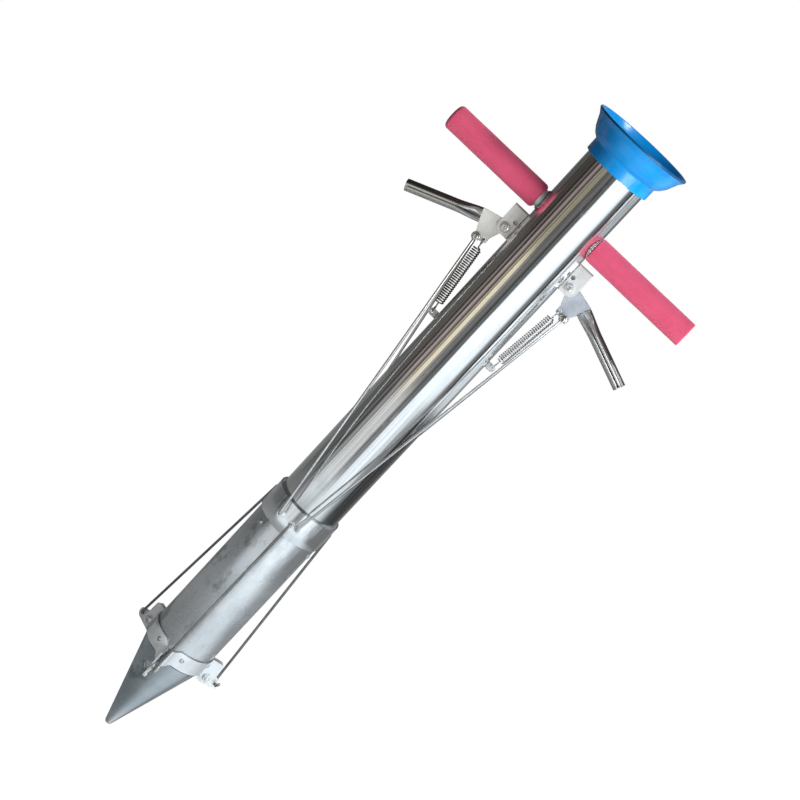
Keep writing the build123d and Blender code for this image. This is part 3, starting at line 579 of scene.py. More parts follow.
def foam_sleeve(sign, start, edge, seed):
    """Foam sleeve: a turned sleeve with rounded ends whose radius swells and sags a little along it."""
    phases = np.random.default_rng(seed).uniform(0, TURN, 4)
    bore, end_bore, rim = BAR_R + FOAM_FIT, BAR_END + FOAM_FIT, FOAM_END - 1
    near = [(0, end_bore), (bore, end_bore), (bore, start), (GRIP_R, start), (GRIP_R, start + rim)]
    rows = np.linspace(start + FOAM_END, GRIP_OUT - FOAM_END, FOAM_ROWS)
    body = np.stack([np.full(FOAM_ROWS, GRIP_R), rows], -1)
    far = [(GRIP_R, GRIP_OUT - rim), (GRIP_R, GRIP_OUT), (0, GRIP_OUT)]
    r, h = np.concatenate([rounded(near, [0.3, 0.5, edge]), body, rounded(far, [edge])]).T[..., None]
    turn = np.linspace(0, TURN, 73)
    skin_share = np.clip((r - bore - FOAM_EDGE) / (GRIP_R - bore - FOAM_EDGE), 0, 1) * (h < GRIP_OUT - 0.01)
    wave = (np.sin(h / FOAM_LONG_WAVE + phases[0]) * np.cos(turn + phases[1])
            + 0.7 * np.sin(h / FOAM_SHORT_WAVE + 2 * turn + phases[2]) + 0.8 * np.cos(2 * turn + phases[3]))
    radius = r - skin_share * FOAM_SAG * (1.25 + 0.5 * wave)
    return patch(np.stack([sign * h + 0 * turn, radius * np.cos(turn), GRIP_Z + radius * np.sin(turn)], -1))


def bead(path, radius, reference, seed):
    """Weld bead: a wire along the joint whose thickness ripples with the arc's steps and runs uneven."""
    rng = np.random.default_rng(seed)
    p = np.asarray(path, float)
    run = np.concatenate([[0], np.cumsum(np.linalg.norm(np.diff(p, axis=0), axis=1))])
    uneven = np.interp(run, np.linspace(0, run[-1], 9), rng.normal(size=9))
    steps = 1 + BEAD_RIPPLE * np.sin(run * TURN / BEAD_STEP) + BEAD_UNEVEN * uneven
    return rod(p, radius * steps, reference, sides=10, end=0.2)


def saddle_path(sign):
    """Joint of the stub tube and the feed tube: the circle of the bar laid on the tube's round side."""
    turn = np.linspace(0, TURN, 160)
    r = BAR_R + SADDLE_RISE
    y, z = r * np.cos(turn), GRIP_Z + r * np.sin(turn)
    return np.stack([sign * (tube_side(y) + SADDLE_RISE), y, z], -1)


for sign, name, start, edge, seed, bead_r, finish in (
    (-1, "left", 42.4, 4.5, 11, 1.0, weld), (1, "right", 38.7, 1.2, 12, 1.7, pale_weld),
):
    piece(f"{name}_stub_tube", [coped_bar(sign)], zinc, [f"handle_bar_{name}"])
    grip = piece(f"{name}_foam_grip", [foam_sleeve(sign, start, edge, seed)], foam, [f"grip_{name}"],
                 sharp_deg=50.0)
    piece(f"{name}_grip_weld", [bead(saddle_path(sign), bead_r, (sign, 0, 0), seed)], finish)


# Levers
def rolled_handle(sign, slit, notch):
    """Rolled handle: a two-lobed flat section that grows round over the taper, open at a slit with turned-in
    edges."""
    slope = np.radians(HANDLE_SLOPE)
    along = np.array([sign * np.cos(slope), 0.0, -np.sin(slope)])
    across = np.array([sign * np.sin(slope), 0.0, np.cos(slope)])
    front = np.cross(along, across)
    start = np.array([sign * MOUTH_X, 0.0, MOUTH_Z]) + MOUTH_FIT * along
    taper, barrel = np.linspace(0, HANDLE_TAPER, 50), np.linspace(HANDLE_TAPER + 2, HANDLE_LENGTH, 40)
    run = np.concatenate([taper, barrel])[:, None]
    share = smooth(np.clip(run / HANDLE_TAPER, 0, 1))
    flat = 1 - share
    slot = np.exp(-(((run - SLOT_AT) / SLOT_HALF) ** 4))
    notch = notch * np.exp(-(((HANDLE_LENGTH - run) / NOTCH_REACH) ** 2))
    upper_gap, lower_gap = slit + SLOT_UP * slot + notch, slit - SLOT_DOWN * slot + notch
    turn = np.linspace(0, TURN, 121)[None, :]
    lips = upper_gap * np.exp(-((turn / LIP_TURN) ** 2)) - lower_gap * np.exp(-(((TURN - turn) / LIP_TURN) ** 2))
    open_side = np.clip(np.cos(turn), 0, 1)

    def wall(depth):
        """The section at a depth: across, a soft step plus a sine plus the lips, and through it, a cosine less
        the groove."""
        thick = MOUTH_T / 2 - depth + share * (HANDLE_R - MOUTH_T / 2)
        wide = (MOUTH_W / 2 - MOUTH_T / 2) * flat
        a = wide * np.tanh(LOBE_STEEP * np.sin(turn)) + thick * np.sin(turn) + lips
        half = GROOVE_HALF + GROOVE_HALF * flat
        groove = (GROOVE + GROOVE_MOUTH * flat) * np.exp(-((a / half) ** 2)) * open_side
        knob = KNOB_RISE * np.exp(-((run / KNOB_REACH) ** 2)) * np.clip(-np.sin(turn), 0, 1) * open_side
        b = thick * np.cos(turn) * (1 - groove + knob)
        return start + run[..., None] * along + a[..., None] * across + sign * b[..., None] * front

    return skin(wall(0.0), wall(HANDLE_WALL))


def pin_profile():
    """Rod pin: a shank between two low domed heads, each a quarter of a sine and a cosine."""
    dome = np.linspace(0, np.pi / 2, 7)
    head = np.stack([PIN_HEAD_R * np.sin(dome) ** 0.8, PIN_HALF + PIN_HEAD_H * (0.35 + 0.65 * np.cos(dome))], -1)
    up = np.concatenate([head, [(PIN_HEAD_R, PIN_HALF), (PIN_R, PIN_HALF)]])
    return np.concatenate([up, up[::-1] * (1, -1)])


def upright(x, y, ends, steps):
    """A straight upright line of points from one height to another."""
    return np.stack([np.full(steps, x), np.full(steps, y), np.linspace(*ends, steps)], -1)


# Painted reflection: the right lever plate takes the darker blue-grey copy of the plate finish.
for sign, name, slit, notch, finish, fork, roll in (
    (-1, "left", 0.2, 0.0, plate_steel, plate_steel, oiled_handle),
    (1, "right", 0.55, 1.0, reflection_tinted_plate, zinc, bright_handle),
):
    lever = f"{name}_lever"
    dressed(f"{name}_lever_plate", f"lever_plate_{name}", finish, lever)
    dressed(f"{name}_lever_fork", f"lever_bracket_{name}", fork)
    dressed(f"{name}_spring_tab", f"spring_anchor_{name}", zinc, edge=TAB_EDGE)
    piece(f"{name}_squeeze_handle", [rolled_handle(sign, slit, notch)], roll, [f"lever_handle_{name}"], lever,
          bevel=0.25, shade_inside=True)
    piece(f"{name}_rod_pin", [turned(pin_profile(), (sign * PIN_X, 0, PIN_Z), (0, 1, 0), segments=40)],
          wire_steel, [f"rod_pin_{name}"], lever)
    seams = [upright(sign * (tube_side(y) + FORK_SEAM_RISE), y, FORK_SEAM, 60)
             for y in (-CHEEK_OUT - FORK_SEAM_OUT, CHEEK_OUT + FORK_SEAM_OUT)]
    tabs = [upright(sign * (TUBE_R + TAB_SEAM_RISE), y, TAB_SEAM, 24) for y in (-TAB_SEAM_Y, TAB_SEAM_Y)]
    beads = [bead(path, FORK_BEAD_R, (1, 0.3, 0), 20 + k + 4 * (sign > 0))
             for k, path in enumerate(seams + tabs)]
    piece(f"{name}_fork_welds", beads, weld)


# Bolts, nuts and rivets
def cross_arm(a, b):
    """One arm of a cross recess: deep near the middle line, fading at the arm's end."""
    return np.clip(1.5 - np.abs(a) / RECESS_HALF, 0, 1) * np.clip((RECESS_REACH - np.abs(b)) / RECESS_FADE, 0, 1)


def bolt_patches(origin, axis, grip):
    """Bolt: a domed head with a cross recess as a height over (radius, angle), on a washer, a shank and a threaded
    end."""
    turn = np.linspace(0, TURN, BOLT_SIDES + 1)[None, :]
    r = np.linspace(0, 1, 19)[:, None]
    x, y = r * np.cos(turn), r * np.sin(turn)
    recess = np.maximum(cross_arm(x, y), cross_arm(y, x))
    dome = BOLT_HEAD_H * (0.55 + 0.45 * np.sqrt(np.clip(1 - 0.97 * r**2, 0, 1))) - RECESS_DEPTH * recess
    under, root, tip = grip + WASHER_H, grip + 0.6 * NUT_H, grip + NUT_H + THREAD_END
    shank = [(BOLT_HEAD_R, -under), (WASHER_R - WASHER_EDGE, -under), (WASHER_R, WASHER_EDGE - under),
             (WASHER_R, -grip), (BOLT_R, -grip), (BOLT_R, root)]
    thread_z = np.linspace(root, tip - POINT_H, 60)[:, None]
    thread = BOLT_R - THREAD_IN + THREAD_WAVE * np.cos(TURN * thread_z + turn)
    shank_r, shank_z = np.array(shank).T[..., None] + 0 * turn
    end_r, end_z = np.array([(BOLT_R - POINT_IN, tip), (0.0, tip)]).T[..., None] + 0 * turn
    radius = np.concatenate([BOLT_HEAD_R * r + 0 * turn, shank_r, thread, end_r])
    height = np.concatenate([-under - dome, shank_z, thread_z + 0 * turn, end_z])
    return round_grid(radius, height, origin, axis, UP)


def nut_patches(origin, axis, grip):
    """Hexagon nut: six flats as a radius over the angle, cut back by a round chamfer at both faces."""
    turn = np.linspace(0, TURN, BOLT_SIDES + 1)[None, :]
    flat = NUT_R * np.cos(np.pi / 6)
    hexagon = flat / np.cos((turn + np.pi / 6) % (np.pi / 3) - np.pi / 6)
    inner = np.full_like(turn, BOLT_R + NUT_FIT)
    face, cut = np.minimum(hexagon, flat), np.minimum(hexagon, flat * NUT_CUT)
    radius = np.concatenate([inner, face, cut, hexagon, hexagon, cut, face, inner, inner])
    steps = [0.0, 0.0, NUT_EDGE, NUT_CHAMFER, NUT_H - NUT_CHAMFER, NUT_H - NUT_EDGE, NUT_H, NUT_H, 0.0]
    return round_grid(radius, grip + np.array(steps)[:, None], origin, axis, UP)


def rivet_patches(azimuth, out, z):
    """Domed rivet: a round cap turned about a line that points away from the tube's axis."""
    t = np.linspace(0, np.pi / 2, 9)
    cap = np.stack([RIVET_HEAD_R * np.sin(t), RIVET_HEAD_H * np.cos(t)], -1)
    profile = np.concatenate([cap, [(RIVET_HEAD_R, -RIVET_SINK), (0.0, -RIVET_SINK)]])
    return turned(profile, out * out_at(azimuth) + z * UP, out_at(azimuth), segments=32)


lever_spots = [(np.array([sign * LEVER_X, 0.0, LEVER_Z]), (0, -sign, 0)) for sign in (-1, 1)]
jaw_spots = [(JAW_PIVOT_R * out_at(a) + JAW_PIVOT_Z * UP, -side_at(a)) for a in LUGS.values()]
for kind, name, spots, grip in (
    ("lever_pivot", "lever", lever_spots, CHEEK_OUT), ("petal_pivot", "jaw", jaw_spots, EAR_BACK),
):
    piece(f"{kind}_bolts", [bolt_patches(o, a, grip) for o, a in spots], bolt_steel, [f"{name}_bolts"],
          sharp_deg=34.0)
    piece(f"{kind}_nuts", [nut_patches(o, a, grip) for o, a in spots], zinc, [f"{name}_nuts"], sharp_deg=24.0)
piece("sleeve_rivets", [rivet_patches(TUBE_RIVET_AZ + k, SLEEVE_R, TUBE_RIVET_Z) for k in (0, 120, 240)],
      wire_steel, ["tube_rivets"])
rivet_turn = np.degrees(np.arcsin(BAND_RIVET_SIDE / BAND_R))
strap_spots = [a + t for a in LUGS.values() for t in (-rivet_turn, rivet_turn)]
piece("strap_rivets", [rivet_patches(a, BAND_R, BAND_RIVET_Z) for a in strap_spots], wire_steel, ["band_rivets"])


# Return springs
def spring_path(sign):
    """Spring line: a hook ring, a shank that runs out to the coil's radius, the close coil, and the same at the
    top."""
    foot, head = np.array([sign * ANCHOR_X, 0, ANCHOR_Z]), np.array([sign * SPRING_X, 0, SPRING_Z])
    along = unit(head - foot)
    front = np.array([0.0, 1.0, 0.0])
    third = np.cross(along, front)
    reach = np.linalg.norm(head - foot)
    hook = np.radians(np.linspace(*HOOK_ARC, 40))[:, None]
    low_hook = foot + HOOK_R * (1 - np.cos(hook)) * along + HOOK_R * np.sin(hook) * front
    high_hook = head - HOOK_R * (1 - np.cos(hook)) * along + HOOK_R * np.sin(hook) * front
    spin = np.linspace(0, TURN * SPRING_TURNS, COIL_STEPS * SPRING_TURNS)[:, None]
    ease = smooth(np.clip(np.minimum(spin, spin[-1] - spin) / (0.5 * TURN), 0, 1))
    radius = (SPRING_R - SPRING_WIRE_R) * (SHANK_SHARE + (1 - SHANK_SHARE) * ease)
    height = HOOK_REACH + (reach - 2 * HOOK_REACH) * spin / spin[-1]
    coil = foot + height * along + radius * (np.cos(spin) * front + np.sin(spin) * third)
    return np.concatenate([low_hook, coil, high_hook[::-1]]), third + 0.37 * along + 0.11 * front


# Painted shade: the left spring takes the darker copy of the wire finish.
for sign, name, finish in ((-1, "left", dark_wire), (1, "right", wire_steel)):
    path, reference = spring_path(sign)
    wire = rod(path, SPRING_WIRE_R, reference, sides=8, end=0.15)
    spring = piece(f"{name}_return_spring", [wire], finish, [f"return_spring_{name}"], body=None, sharp_deg=60.0)
    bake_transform(spring)

# Collar bushes and rods
dressed("rod_bushes", "collar_bushes", zinc, "collar", BUSH_EDGE)


def pull_rod_path(sign, front):
    """Pull rod line: from the bush out, a bend, a straight leg, and a loop of wire round the lever's rod pin."""
    pin = np.array([sign * PIN_X, front * EYE_Y, PIN_Z])
    low = np.array([sign * PULL_X, front * ROD_LEG_R, BUSH_Z])
    root = np.array([sign * PULL_X, front * PULL_ROOT_R, BUSH_Z])
    flat = unit((pin - low) * (1, 0, 1))
    square = np.array([flat[2], 0.0, -flat[0]])
    leg_end = pin - (EYE_R + EYE_LEAD) * unit(pin - low)
    loop = np.radians(np.linspace(*EYE_ARC, 30))[:, None]
    ring = pin + EYE_R * (np.cos(loop) * flat + np.sin(loop) * square)
    leg = rounded([root, low, leg_end], [ROD_BEND])
    return np.concatenate([leg[:-1], eased(np.concatenate([leg[-1:], ring]))])


def link_rod_path(azimuth):
    """Link rod line: from the bush out, a bend, a straight leg, a foot through the arm and a turned-up tail."""
    slope = np.radians(TAIL_SLOPE)
    foot = -(ARM_T / 2 + ARM_PLAY + 2 * WIRE_R)
    points = np.array([
        (LINK_ROOT_R, ROD_SIDE, BUSH_Z), (ROD_LEG_R, ROD_SIDE, BUSH_Z), (ROD_HOLE_R, ROD_SIDE, ROD_HOLE_Z),
        (ROD_HOLE_R, foot, ROD_HOLE_Z),
        (ROD_HOLE_R, foot - TAIL_LENGTH * np.cos(slope), ROD_HOLE_Z + TAIL_LENGTH * np.sin(slope)),
    ])
    axes = np.stack([out_at(azimuth), side_at(azimuth), UP])
    return rounded(points @ axes, [ROD_BEND, FOOT_BEND, FOOT_BEND]), np.array([0.55, 0.35, 0.75]) @ axes


for sign, name in ((-1, "left"), (1, "right")):
    for front, end in ((-1, "front"), (1, "back")):
        wire = rod(pull_rod_path(sign, front), WIRE_R - PULL_THIN, (0.9, 0.3 * front, -0.25 * sign))
        piece(f"{name}_{end}_pull_rod", [wire], wire_steel, [f"pull_rod_{name}_{end}"], f"{name}_rods",
              sharp_deg=50.0)
# Painted shade: the link rods take the darker copy of the wire finish.
for name, azimuth in LUGS.items():
    path, reference = link_rod_path(azimuth)
    piece(f"{name}_link_rod", [rod(path, WIRE_R, reference)], dark_wire, [f"link_rod_{name}"], "collar",
          sharp_deg=50.0)


# Planting beak
def beak_section(depth):
    """Petal section: a round tip, then a straight side that touches it, at a depth under the outer face."""
    rise = PETAL_TOP - TIP_R
    lean = np.arctan2(rise, PETAL_BASE_R) - np.arccos(TIP_R / np.hypot(rise, PETAL_BASE_R))
    arc = np.linspace(-np.pi / 2, lean, 18)
    tip = np.stack([(TIP_R - depth) * np.cos(arc), TIP_R + (TIP_R - depth) * np.sin(arc)], -1)
    top = np.array([PETAL_BASE_R - depth / np.cos(lean), PETAL_TOP])
    share = np.linspace(0, 1, 54)[1:, None]
    return np.concatenate([tip, tip[-1] + share * (top - tip[-1])])


def petal(azimuth):
    """One petal: the section swung between its two seams, each a small gap that widens above the pivot."""
    across = np.linspace(-1, 1, 49)[None, :]
    lead = out_at(azimuth)

    def wall(depth):
        """The section at a depth, turned by even steps from seam to seam, and moved out where the seams meet."""
        r, z = beak_section(depth).T
        gap = np.maximum(PETAL_GAP / 2, PETAL_RELIEF * (z - JAW_PIVOT_Z) / (PETAL_TOP - JAW_PIVOT_Z))
        half = SIXTH - np.arcsin(np.clip(gap / np.maximum(r, 1e-6), 0, np.sin(SIXTH)))
        turn = np.radians(azimuth) + across * half[:, None]
        shift = np.maximum(gap / np.sin(SIXTH) - r, 0)[:, None]
        x, y = r[:, None] * np.cos(turn), r[:, None] * np.sin(turn)
        return np.stack([x + shift * lead[0], y + shift * lead[1], np.broadcast_to(z[:, None], x.shape)], -1)

    return skin(wall(0.0), wall(PETAL_WALL))


def arm_weld(azimuth, side):
    """Joint of an arm and its petal: a line down the petal's outer face beside the arm."""
    z = np.linspace(*ARM_SEAM, 40)
    r, h = beak_section(0.0).T
    reach = np.interp(z, h, r) + ARM_SEAM_RISE
    return reach[:, None] * out_at(azimuth) + side * side_at(azimuth) + z[:, None] * UP


for k, (name, azimuth) in enumerate(LUGS.items()):
    jaw = f"{name}_jaw"
    piece(f"{name}_petal", [petal(azimuth)], petal_steel, [f"jaw_{name}"], jaw, sharp_deg=34.0)
    dressed(f"{name}_petal_arm", f"jaw_arm_{name}", zinc, jaw)
    reference = out_at(azimuth) + 0.2 * side_at(azimuth)
    beads = [bead(arm_weld(azimuth, s), ARM_BEAD_R, reference, 40 + 2 * k + (s > 0))
             for s in (-ARM_SEAM_SIDE, ARM_SEAM_SIDE)]
    piece(f"{name}_arm_welds", beads, weld, (), jaw)


# Hinge straps
def ear_span(r):
    """Lowest and highest point of an ear at each distance from the axis: the common part of its half-planes."""
    def edge(angle):
        """Height of the outline's tangent at an angle: the furthest of eye, corner and root, less r times the
        cosine, over the sine."""
        c, s = np.cos(angle), np.sin(angle)
        eye = JAW_PIVOT_R * c + JAW_PIVOT_Z * s + EAR_EYE_R
        corner = (BAND_R + EAR_REACH - EAR_CORNER) * c + (EAR_TOP - EAR_CORNER) * s + EAR_CORNER
        root = np.maximum(BAND_LOW * s, EAR_TOP * s) + (BAND_IN_R + EAR_FIT) * c
        return (np.maximum(np.maximum(eye, corner), root) - r[:, None] * c) / s

    angle = np.radians(np.linspace(0.5, 179.5, 719))
    return edge(-angle).max(1), edge(angle).min(1)


def strap(start):
    """Strap: an upright strip along a plan line, in along one ear, round the sleeve, and out along the next."""
    after = start + 120.0
    half_t = BAND_T / 2
    mid_r, ear_mid = BAND_R - half_t, EAR_FACE + half_t
    lead = np.arcsin((ear_mid + BEND_SIDE) / mid_r)
    far, bend = JAW_PIVOT_R + EAR_EYE_R, BAND_R + BEND_OUT
    reach = bend + (far - bend) * np.sin(np.linspace(np.pi / 2, 0, 30))
    turn = np.radians(start) + np.linspace(lead, np.radians(120) - lead, STRAP_STEPS)
    ear_in = reach[:, None] * out_at(start) + ear_mid * side_at(start)
    ring = mid_r * np.stack([np.cos(turn), np.sin(turn), 0 * turn], -1)
    ear_out = reach[::-1, None] * out_at(after) - ear_mid * side_at(after)
    plan = np.concatenate([ear_in, ring, ear_out])
    low, high = ear_span(np.minimum(reach, far - 0.01))
    share = np.linspace(0, 1, STRAP_STEPS)
    swell = smooth(np.clip(np.minimum(share, 1 - share) / SWELL_SHARE, 0, 1))
    ring_low = low[-1] + (BAND_LOW - low[-1]) * swell
    ring_high = high[-1] + (BAND_LOW + BAND_H - high[-1]) * swell
    lows, highs = np.concatenate([low, ring_low, low[::-1]]), np.concatenate([high, ring_high, high[::-1]])
    normal = half_t * np.cross(unit(np.gradient(plan, axis=0)), UP)[:, None]
    up = np.linspace(0, 1, 13)[None, :, None]
    z = lows[:, None, None] + up * (highs - lows)[:, None, None]
    sheet = plan[:, None] + z * UP
    return skin(sheet + normal, sheet - normal)


# The left strap takes the lighter copy of the strap finish as painted light.
for start, name, finish in (
    (-90.0, "right", strap_steel), (30.0, "back", strap_steel), (150.0, "left", pale_strap),
):
    piece(f"{name}_hinge_strap", [strap(start)], finish, [f"hinge_band_{name}"],
          sharp_deg=34.0)


# Camera
def placed(place, across, above, back):
    """Placement of a camera or a lamp: its place, and its three axes."""
    return Matrix.Translation(place) @ Matrix(np.stack([across, above, back], 1).tolist()).to_4x4()


CAMERA_AT, LENS, SENSOR = (0.1660, -1.9931, 1.0716), 84.55, 36.0
YAW, PITCH, ROLL = np.radians([4.90, 15.13, 42.82])
forward = np.array([-np.sin(YAW) * np.cos(PITCH), np.cos(YAW) * np.cos(PITCH), -np.sin(PITCH)])
level = np.array([np.cos(YAW), np.sin(YAW), 0.0])
plumb = np.cross(level, forward)
right = np.cos(ROLL) * level + np.sin(ROLL) * plumb
above = -np.sin(ROLL) * level + np.cos(ROLL) * plumb
camera = bpy.data.objects.new("camera", bpy.data.cameras.new("camera"))
camera.data.lens, camera.data.sensor_width = LENS, SENSOR
camera.data.clip_start, camera.data.clip_end = 0.05, 60.0
camera.matrix_world = placed(CAMERA_AT, right, above, -forward)
scene.collection.objects.link(camera)
scene.camera = camera
scene.view_settings.view_transform = "Standard"

# Stage, in metres
FLOOR_Z, FLOOR_HALF, FLOOR_GLOW, FLOOR_SHARE = -0.05, 30.0, 1.07, 0.93
FLOOR_GREY = (0.42, 0.42, 0.42, 1)


def stage_mesh(name, points, faces, finish, reflected=True):
    """A stage panel. A reflected one is seen in reflections only, and neither lights nor shades the part."""
    mesh = bpy.data.meshes.new(name)
    mesh.from_pydata(np.asarray(points).tolist(), [], np.asarray(faces).tolist())
    mesh.materials.append(finish)
    obj = bpy.data.objects.new(name, mesh)
    scene.collection.objects.link(obj)
    if reflected:
        obj.visible_camera = obj.visible_diffuse = obj.visible_shadow = obj.visible_transmission = False


def pale_floor():
    """Floor: pale grey under the lamps, nearly white to the camera and in reflections, with a soft shadow kept."""
    f = Tree(bpy.data.materials.new("pale_floor"), bare=True)
    plain = f.node("ShaderNodeBsdfDiffuse", {"Color": FLOOR_GREY})
    glow = f.node("ShaderNodeEmission", {"Strength": FLOOR_GLOW})
    return f.surface(f.blended(f.times(f.seen(), FLOOR_SHARE), plain, glow))


floor_corners = [(x * FLOOR_HALF, y * FLOOR_HALF, FLOOR_Z) for x, y in ((-1, -1), (1, -1), (1, 1), (-1, 1))]
stage_mesh("floor", floor_corners, [(0, 1, 2, 3)], pale_floor(), reflected=False)

PANEL_TINTS = {
    "grey": (0.98, 1.0, 1.0), "brown": (1.0, 0.92, 0.84), "rose": (1.0, 0.84, 0.80), "gold": (1.0, 0.92, 0.68),
    "blue": (0.91, 1.0, 1.06),
}
PANEL_GLOW, DARK_BELOW, BRIGHT_FROM = 1.5, 0.74, 1.08
STREAKS_ROUND, STREAK_DARK, STREAK_LIGHT = 45.0, 0.9, 1.3
RING_R, RING_LOW, COLLAR_BAND, RING_SPLIT, RING_MID = 0.62, FLOOR_Z + 0.002, 0.046, 0.134, 0.38
RING_UPPER, RING_HIGH, RING_TOP, RING_EYE = 0.74, 1.15, 1.9, 0.001
BEAK_FLOOR_R, SLEEVE_FLOOR_R = 0.20, 0.44
CARD_R, CARD_FROM, CARD_TO, CARD_LOW, CARD_TOP, CARD_GLOW = 0.5, 23, 54, 0.70, 0.95, 5.0


def mirror_ring(name, panels, section, streaks):
    """Panels that only reflections see: flat from edge to edge, blended in the gaps, with fine streaks in the dark
    parts."""
    f = Tree(bpy.data.materials.new(name), bare=True)
    place = f.node("ShaderNodeTexCoord").outputs["Object"]
    faced = f.node("ShaderNodeMapping", {"Vector": place, "Rotation": (0, 0, np.radians(90) - YAW)})
    sweep = f.node("ShaderNodeTexGradient", {"Vector": faced.outputs[0]}, gradient_type="RADIAL").outputs[0]
    ramp = f.node("ShaderNodeValToRGB", {0: sweep})
    edges = [(angle, light, tint) for start, end, light, tint in panels for angle in (start, end)]
    stops = ramp.color_ramp.elements
    while len(stops) < len(edges):
        stops.new(0.5)
    for stop, (angle, light, tint) in zip(stops, edges):
        stop.position = angle / 360 + 0.5
        stop.color = (*(light / PANEL_GLOW * np.array(PANEL_TINTS[tint])), 1)
    plain = ramp.outputs[0]
    fine = {"W": sweep, "Scale": STREAKS_ROUND, "Detail": 4.0}
    lines = f.node("ShaderNodeTexNoise", fine, noise_dimensions="1D")
    depth = f.span(lines.outputs[0], 0.3, 0.7, 1 - STREAK_DARK * streaks, 1 + STREAK_LIGHT * streaks)
    streaked = f.node("ShaderNodeVectorMath", {0: plain, "Scale": depth}, operation="SCALE").outputs[0]
    bright = f.span(plain, DARK_BELOW / PANEL_GLOW, BRIGHT_FROM / PANEL_GLOW)
    glow = f.node("ShaderNodeEmission", {"Color": f.mixed(bright, streaked, plain), "Strength": PANEL_GLOW})
    stage_mesh(name, *turned(section, segments=96), f.surface(glow))


# What the bright metal mirrors: rings of soft boxes, flags and cards, each ring with its streaks and its section.
# A panel goes from one angle to another, counted in degrees from the camera's side, with its light and its tint.
for name, streaks, section, panels in (
    ("upper_tube_panels", 1.0, [(RING_R, RING_UPPER), (RING_R, RING_HIGH)], [
        (-180, -150, 0.12, "grey"), (-110, -75, 0.05, "brown"), (-60, -48, 0.18, "rose"), (-41, -28, 0.26, "gold"),
        (-24, -20, 0.10, "brown"), (-15, 12, 0.11, "grey"), (20, 65, 1.20, "blue"), (76, 88, 0.12, "grey"),
        (95, 105, 0.50, "blue"), (150, 180, 0.15, "grey")]),
    ("tube_panels", 1.0, [(RING_R, RING_MID), (RING_R, RING_UPPER)], [
        (-180, -150, 0.12, "grey"), (-110, -75, 0.09, "brown"), (-60, -48, 0.24, "rose"), (-41, -38, 0.34, "gold"),
        (-34, -28, 0.80, "gold"), (-24, -20, 0.30, "brown"), (-15, 12, 0.12, "grey"), (20, 65, 1.20, "blue"),
        (76, 88, 0.15, "grey"), (95, 105, 0.80, "blue"), (150, 180, 0.25, "grey")]),
    ("low_tube_panels", 0.6, [(RING_R, RING_SPLIT), (RING_R, RING_MID)], [
        (-180, -150, 0.25, "grey"), (-110, -60, 0.10, "grey"), (-40, -10, 0.60, "grey"), (0, 12, 0.20, "grey"),
        (20, 44, 1.00, "blue"), (64, 76, 0.25, "blue"), (88, 130, 0.05, "grey"), (150, 180, 0.20, "grey")]),
    ("ceiling_panels", 0.2, [(RING_R, RING_HIGH), (RING_R, RING_TOP), (RING_EYE, RING_TOP)], [
        (-180, 0, 0.04, "grey"), (45, 60, 0.40, "grey"), (100, 180, 0.10, "grey")]),
    ("collar_panels", 0.1, [(RING_R, COLLAR_BAND), (RING_R, RING_SPLIT)], [
        (-180, -150, 0.20, "grey"), (-120, -55, 0.20, "grey"), (-38, 52, 0.98, "blue"), (80, 130, 0.05, "grey"),
        (150, 180, 0.20, "grey")]),
    ("sleeve_panels", 0.1, [(SLEEVE_FLOOR_R, RING_LOW), (RING_R, RING_LOW), (RING_R, COLLAR_BAND)], [
        (-180, -150, 0.20, "grey"), (-120, 0, 0.27, "grey"), (12, 65, 0.75, "blue"), (100, 130, 0.20, "blue"),
        (150, 180, 0.20, "grey")]),
    ("floor_panels", 0.1, [(BEAK_FLOOR_R, RING_LOW), (SLEEVE_FLOOR_R, RING_LOW)], [
        (-180, 0, 0.20, "grey"), (22, 78, 0.78, "blue"), (120, 180, 0.22, "grey")]),
    ("beak_panels", 0.2, [(RING_EYE, RING_LOW), (BEAK_FLOOR_R, RING_LOW)], [
        (-180, -10, 0.18, "blue"), (55, 95, 0.55, "blue"), (120, 180, 0.18, "blue")]),
):
    mirror_ring(name, panels, section, streaks)


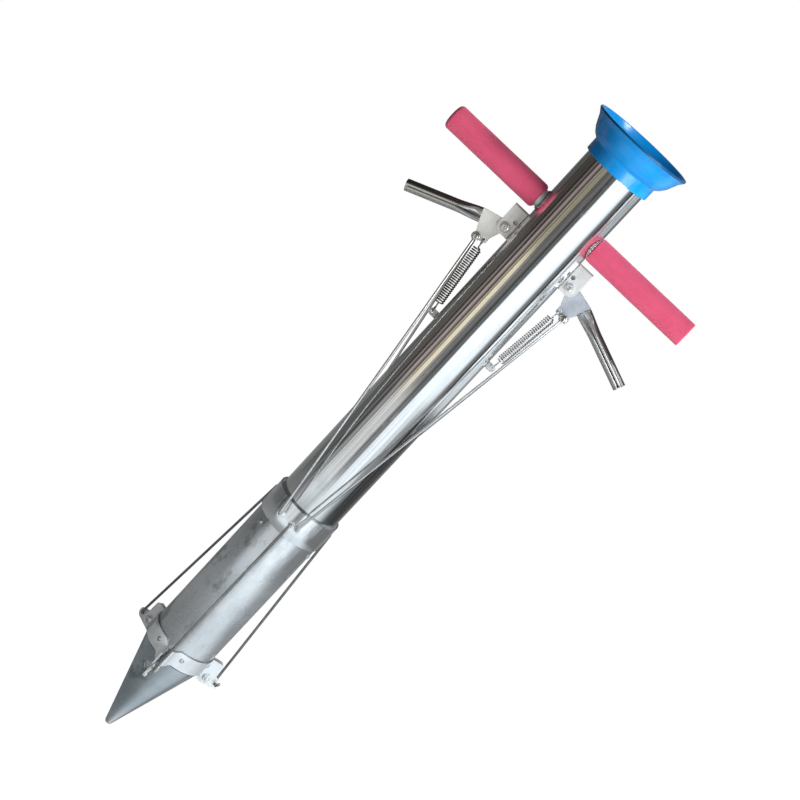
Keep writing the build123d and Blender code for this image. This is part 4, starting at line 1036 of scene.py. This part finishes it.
def skirt_card():
    """A bright card that only reflections see, at the height that the funnel's skirt mirrors."""
    f = Tree(bpy.data.materials.new("skirt_card"), bare=True)
    glow = f.node("ShaderNodeEmission", {"Strength": CARD_GLOW})
    near, far = (CARD_R * out_at(np.degrees(YAW) - 90 + turn) for turn in (CARD_FROM, CARD_TO))
    corners = [near + CARD_LOW * UP, far + CARD_LOW * UP, far + CARD_TOP * UP, near + CARD_TOP * UP]
    stage_mesh("skirt_card", corners, [(0, 1, 2, 3)], f.surface(glow))


skirt_card()


def lamp(name, place, aim_z, size, power, mirrored=False):
    """Soft square lamp that faces a height of the axis. Unless it is mirrored, reflections see the panels and not
    the lamp."""
    made = bpy.data.lights.new(name, "AREA")
    made.size, made.energy = size, power
    obj = bpy.data.objects.new(name, made)
    back = unit(np.subtract(place, (0, 0, aim_z)))
    across = unit(np.cross(UP, back))
    obj.matrix_world = placed(place, across, np.cross(back, across), back)
    obj.visible_glossy, obj.visible_camera = mirrored, False
    scene.collection.objects.link(obj)


lamp("key_lamp", (2.8, -1.8, 1.4), aim_z=0.5, size=1.4, power=104.0)
lamp("low_lamp", (1.35, -1.80, 0.2), aim_z=0.85, size=0.5, power=9.0, mirrored=True)
lamp("side_lamp", (1.3, -0.5, 0.0), aim_z=0.9, size=0.5, power=14.0)
lamp("top_lamp", (1.36, -0.12, 3.0), aim_z=0.9, size=0.4, power=32.0, mirrored=True)
lamp("fill_lamp", (0.5, -3.2, 0.75), aim_z=0.6, size=1.2, power=17.0)
lamp("back_lamp", (-0.5, 2.6, 2.2), aim_z=0.5, size=2.0, power=38.0)

# World: a faint cool light, white to the camera and in reflections
studio = Tree(bpy.data.worlds.new("studio"), bare=True)
soft = studio.node("ShaderNodeBackground", {"Color": (0.97, 0.985, 1.0, 1), "Strength": 0.08})
white = studio.node("ShaderNodeBackground", {"Color": (1, 1, 1, 1), "Strength": 1.0})
scene.world = studio.surface(studio.blended(studio.seen(), soft, white), "ShaderNodeOutputWorld")
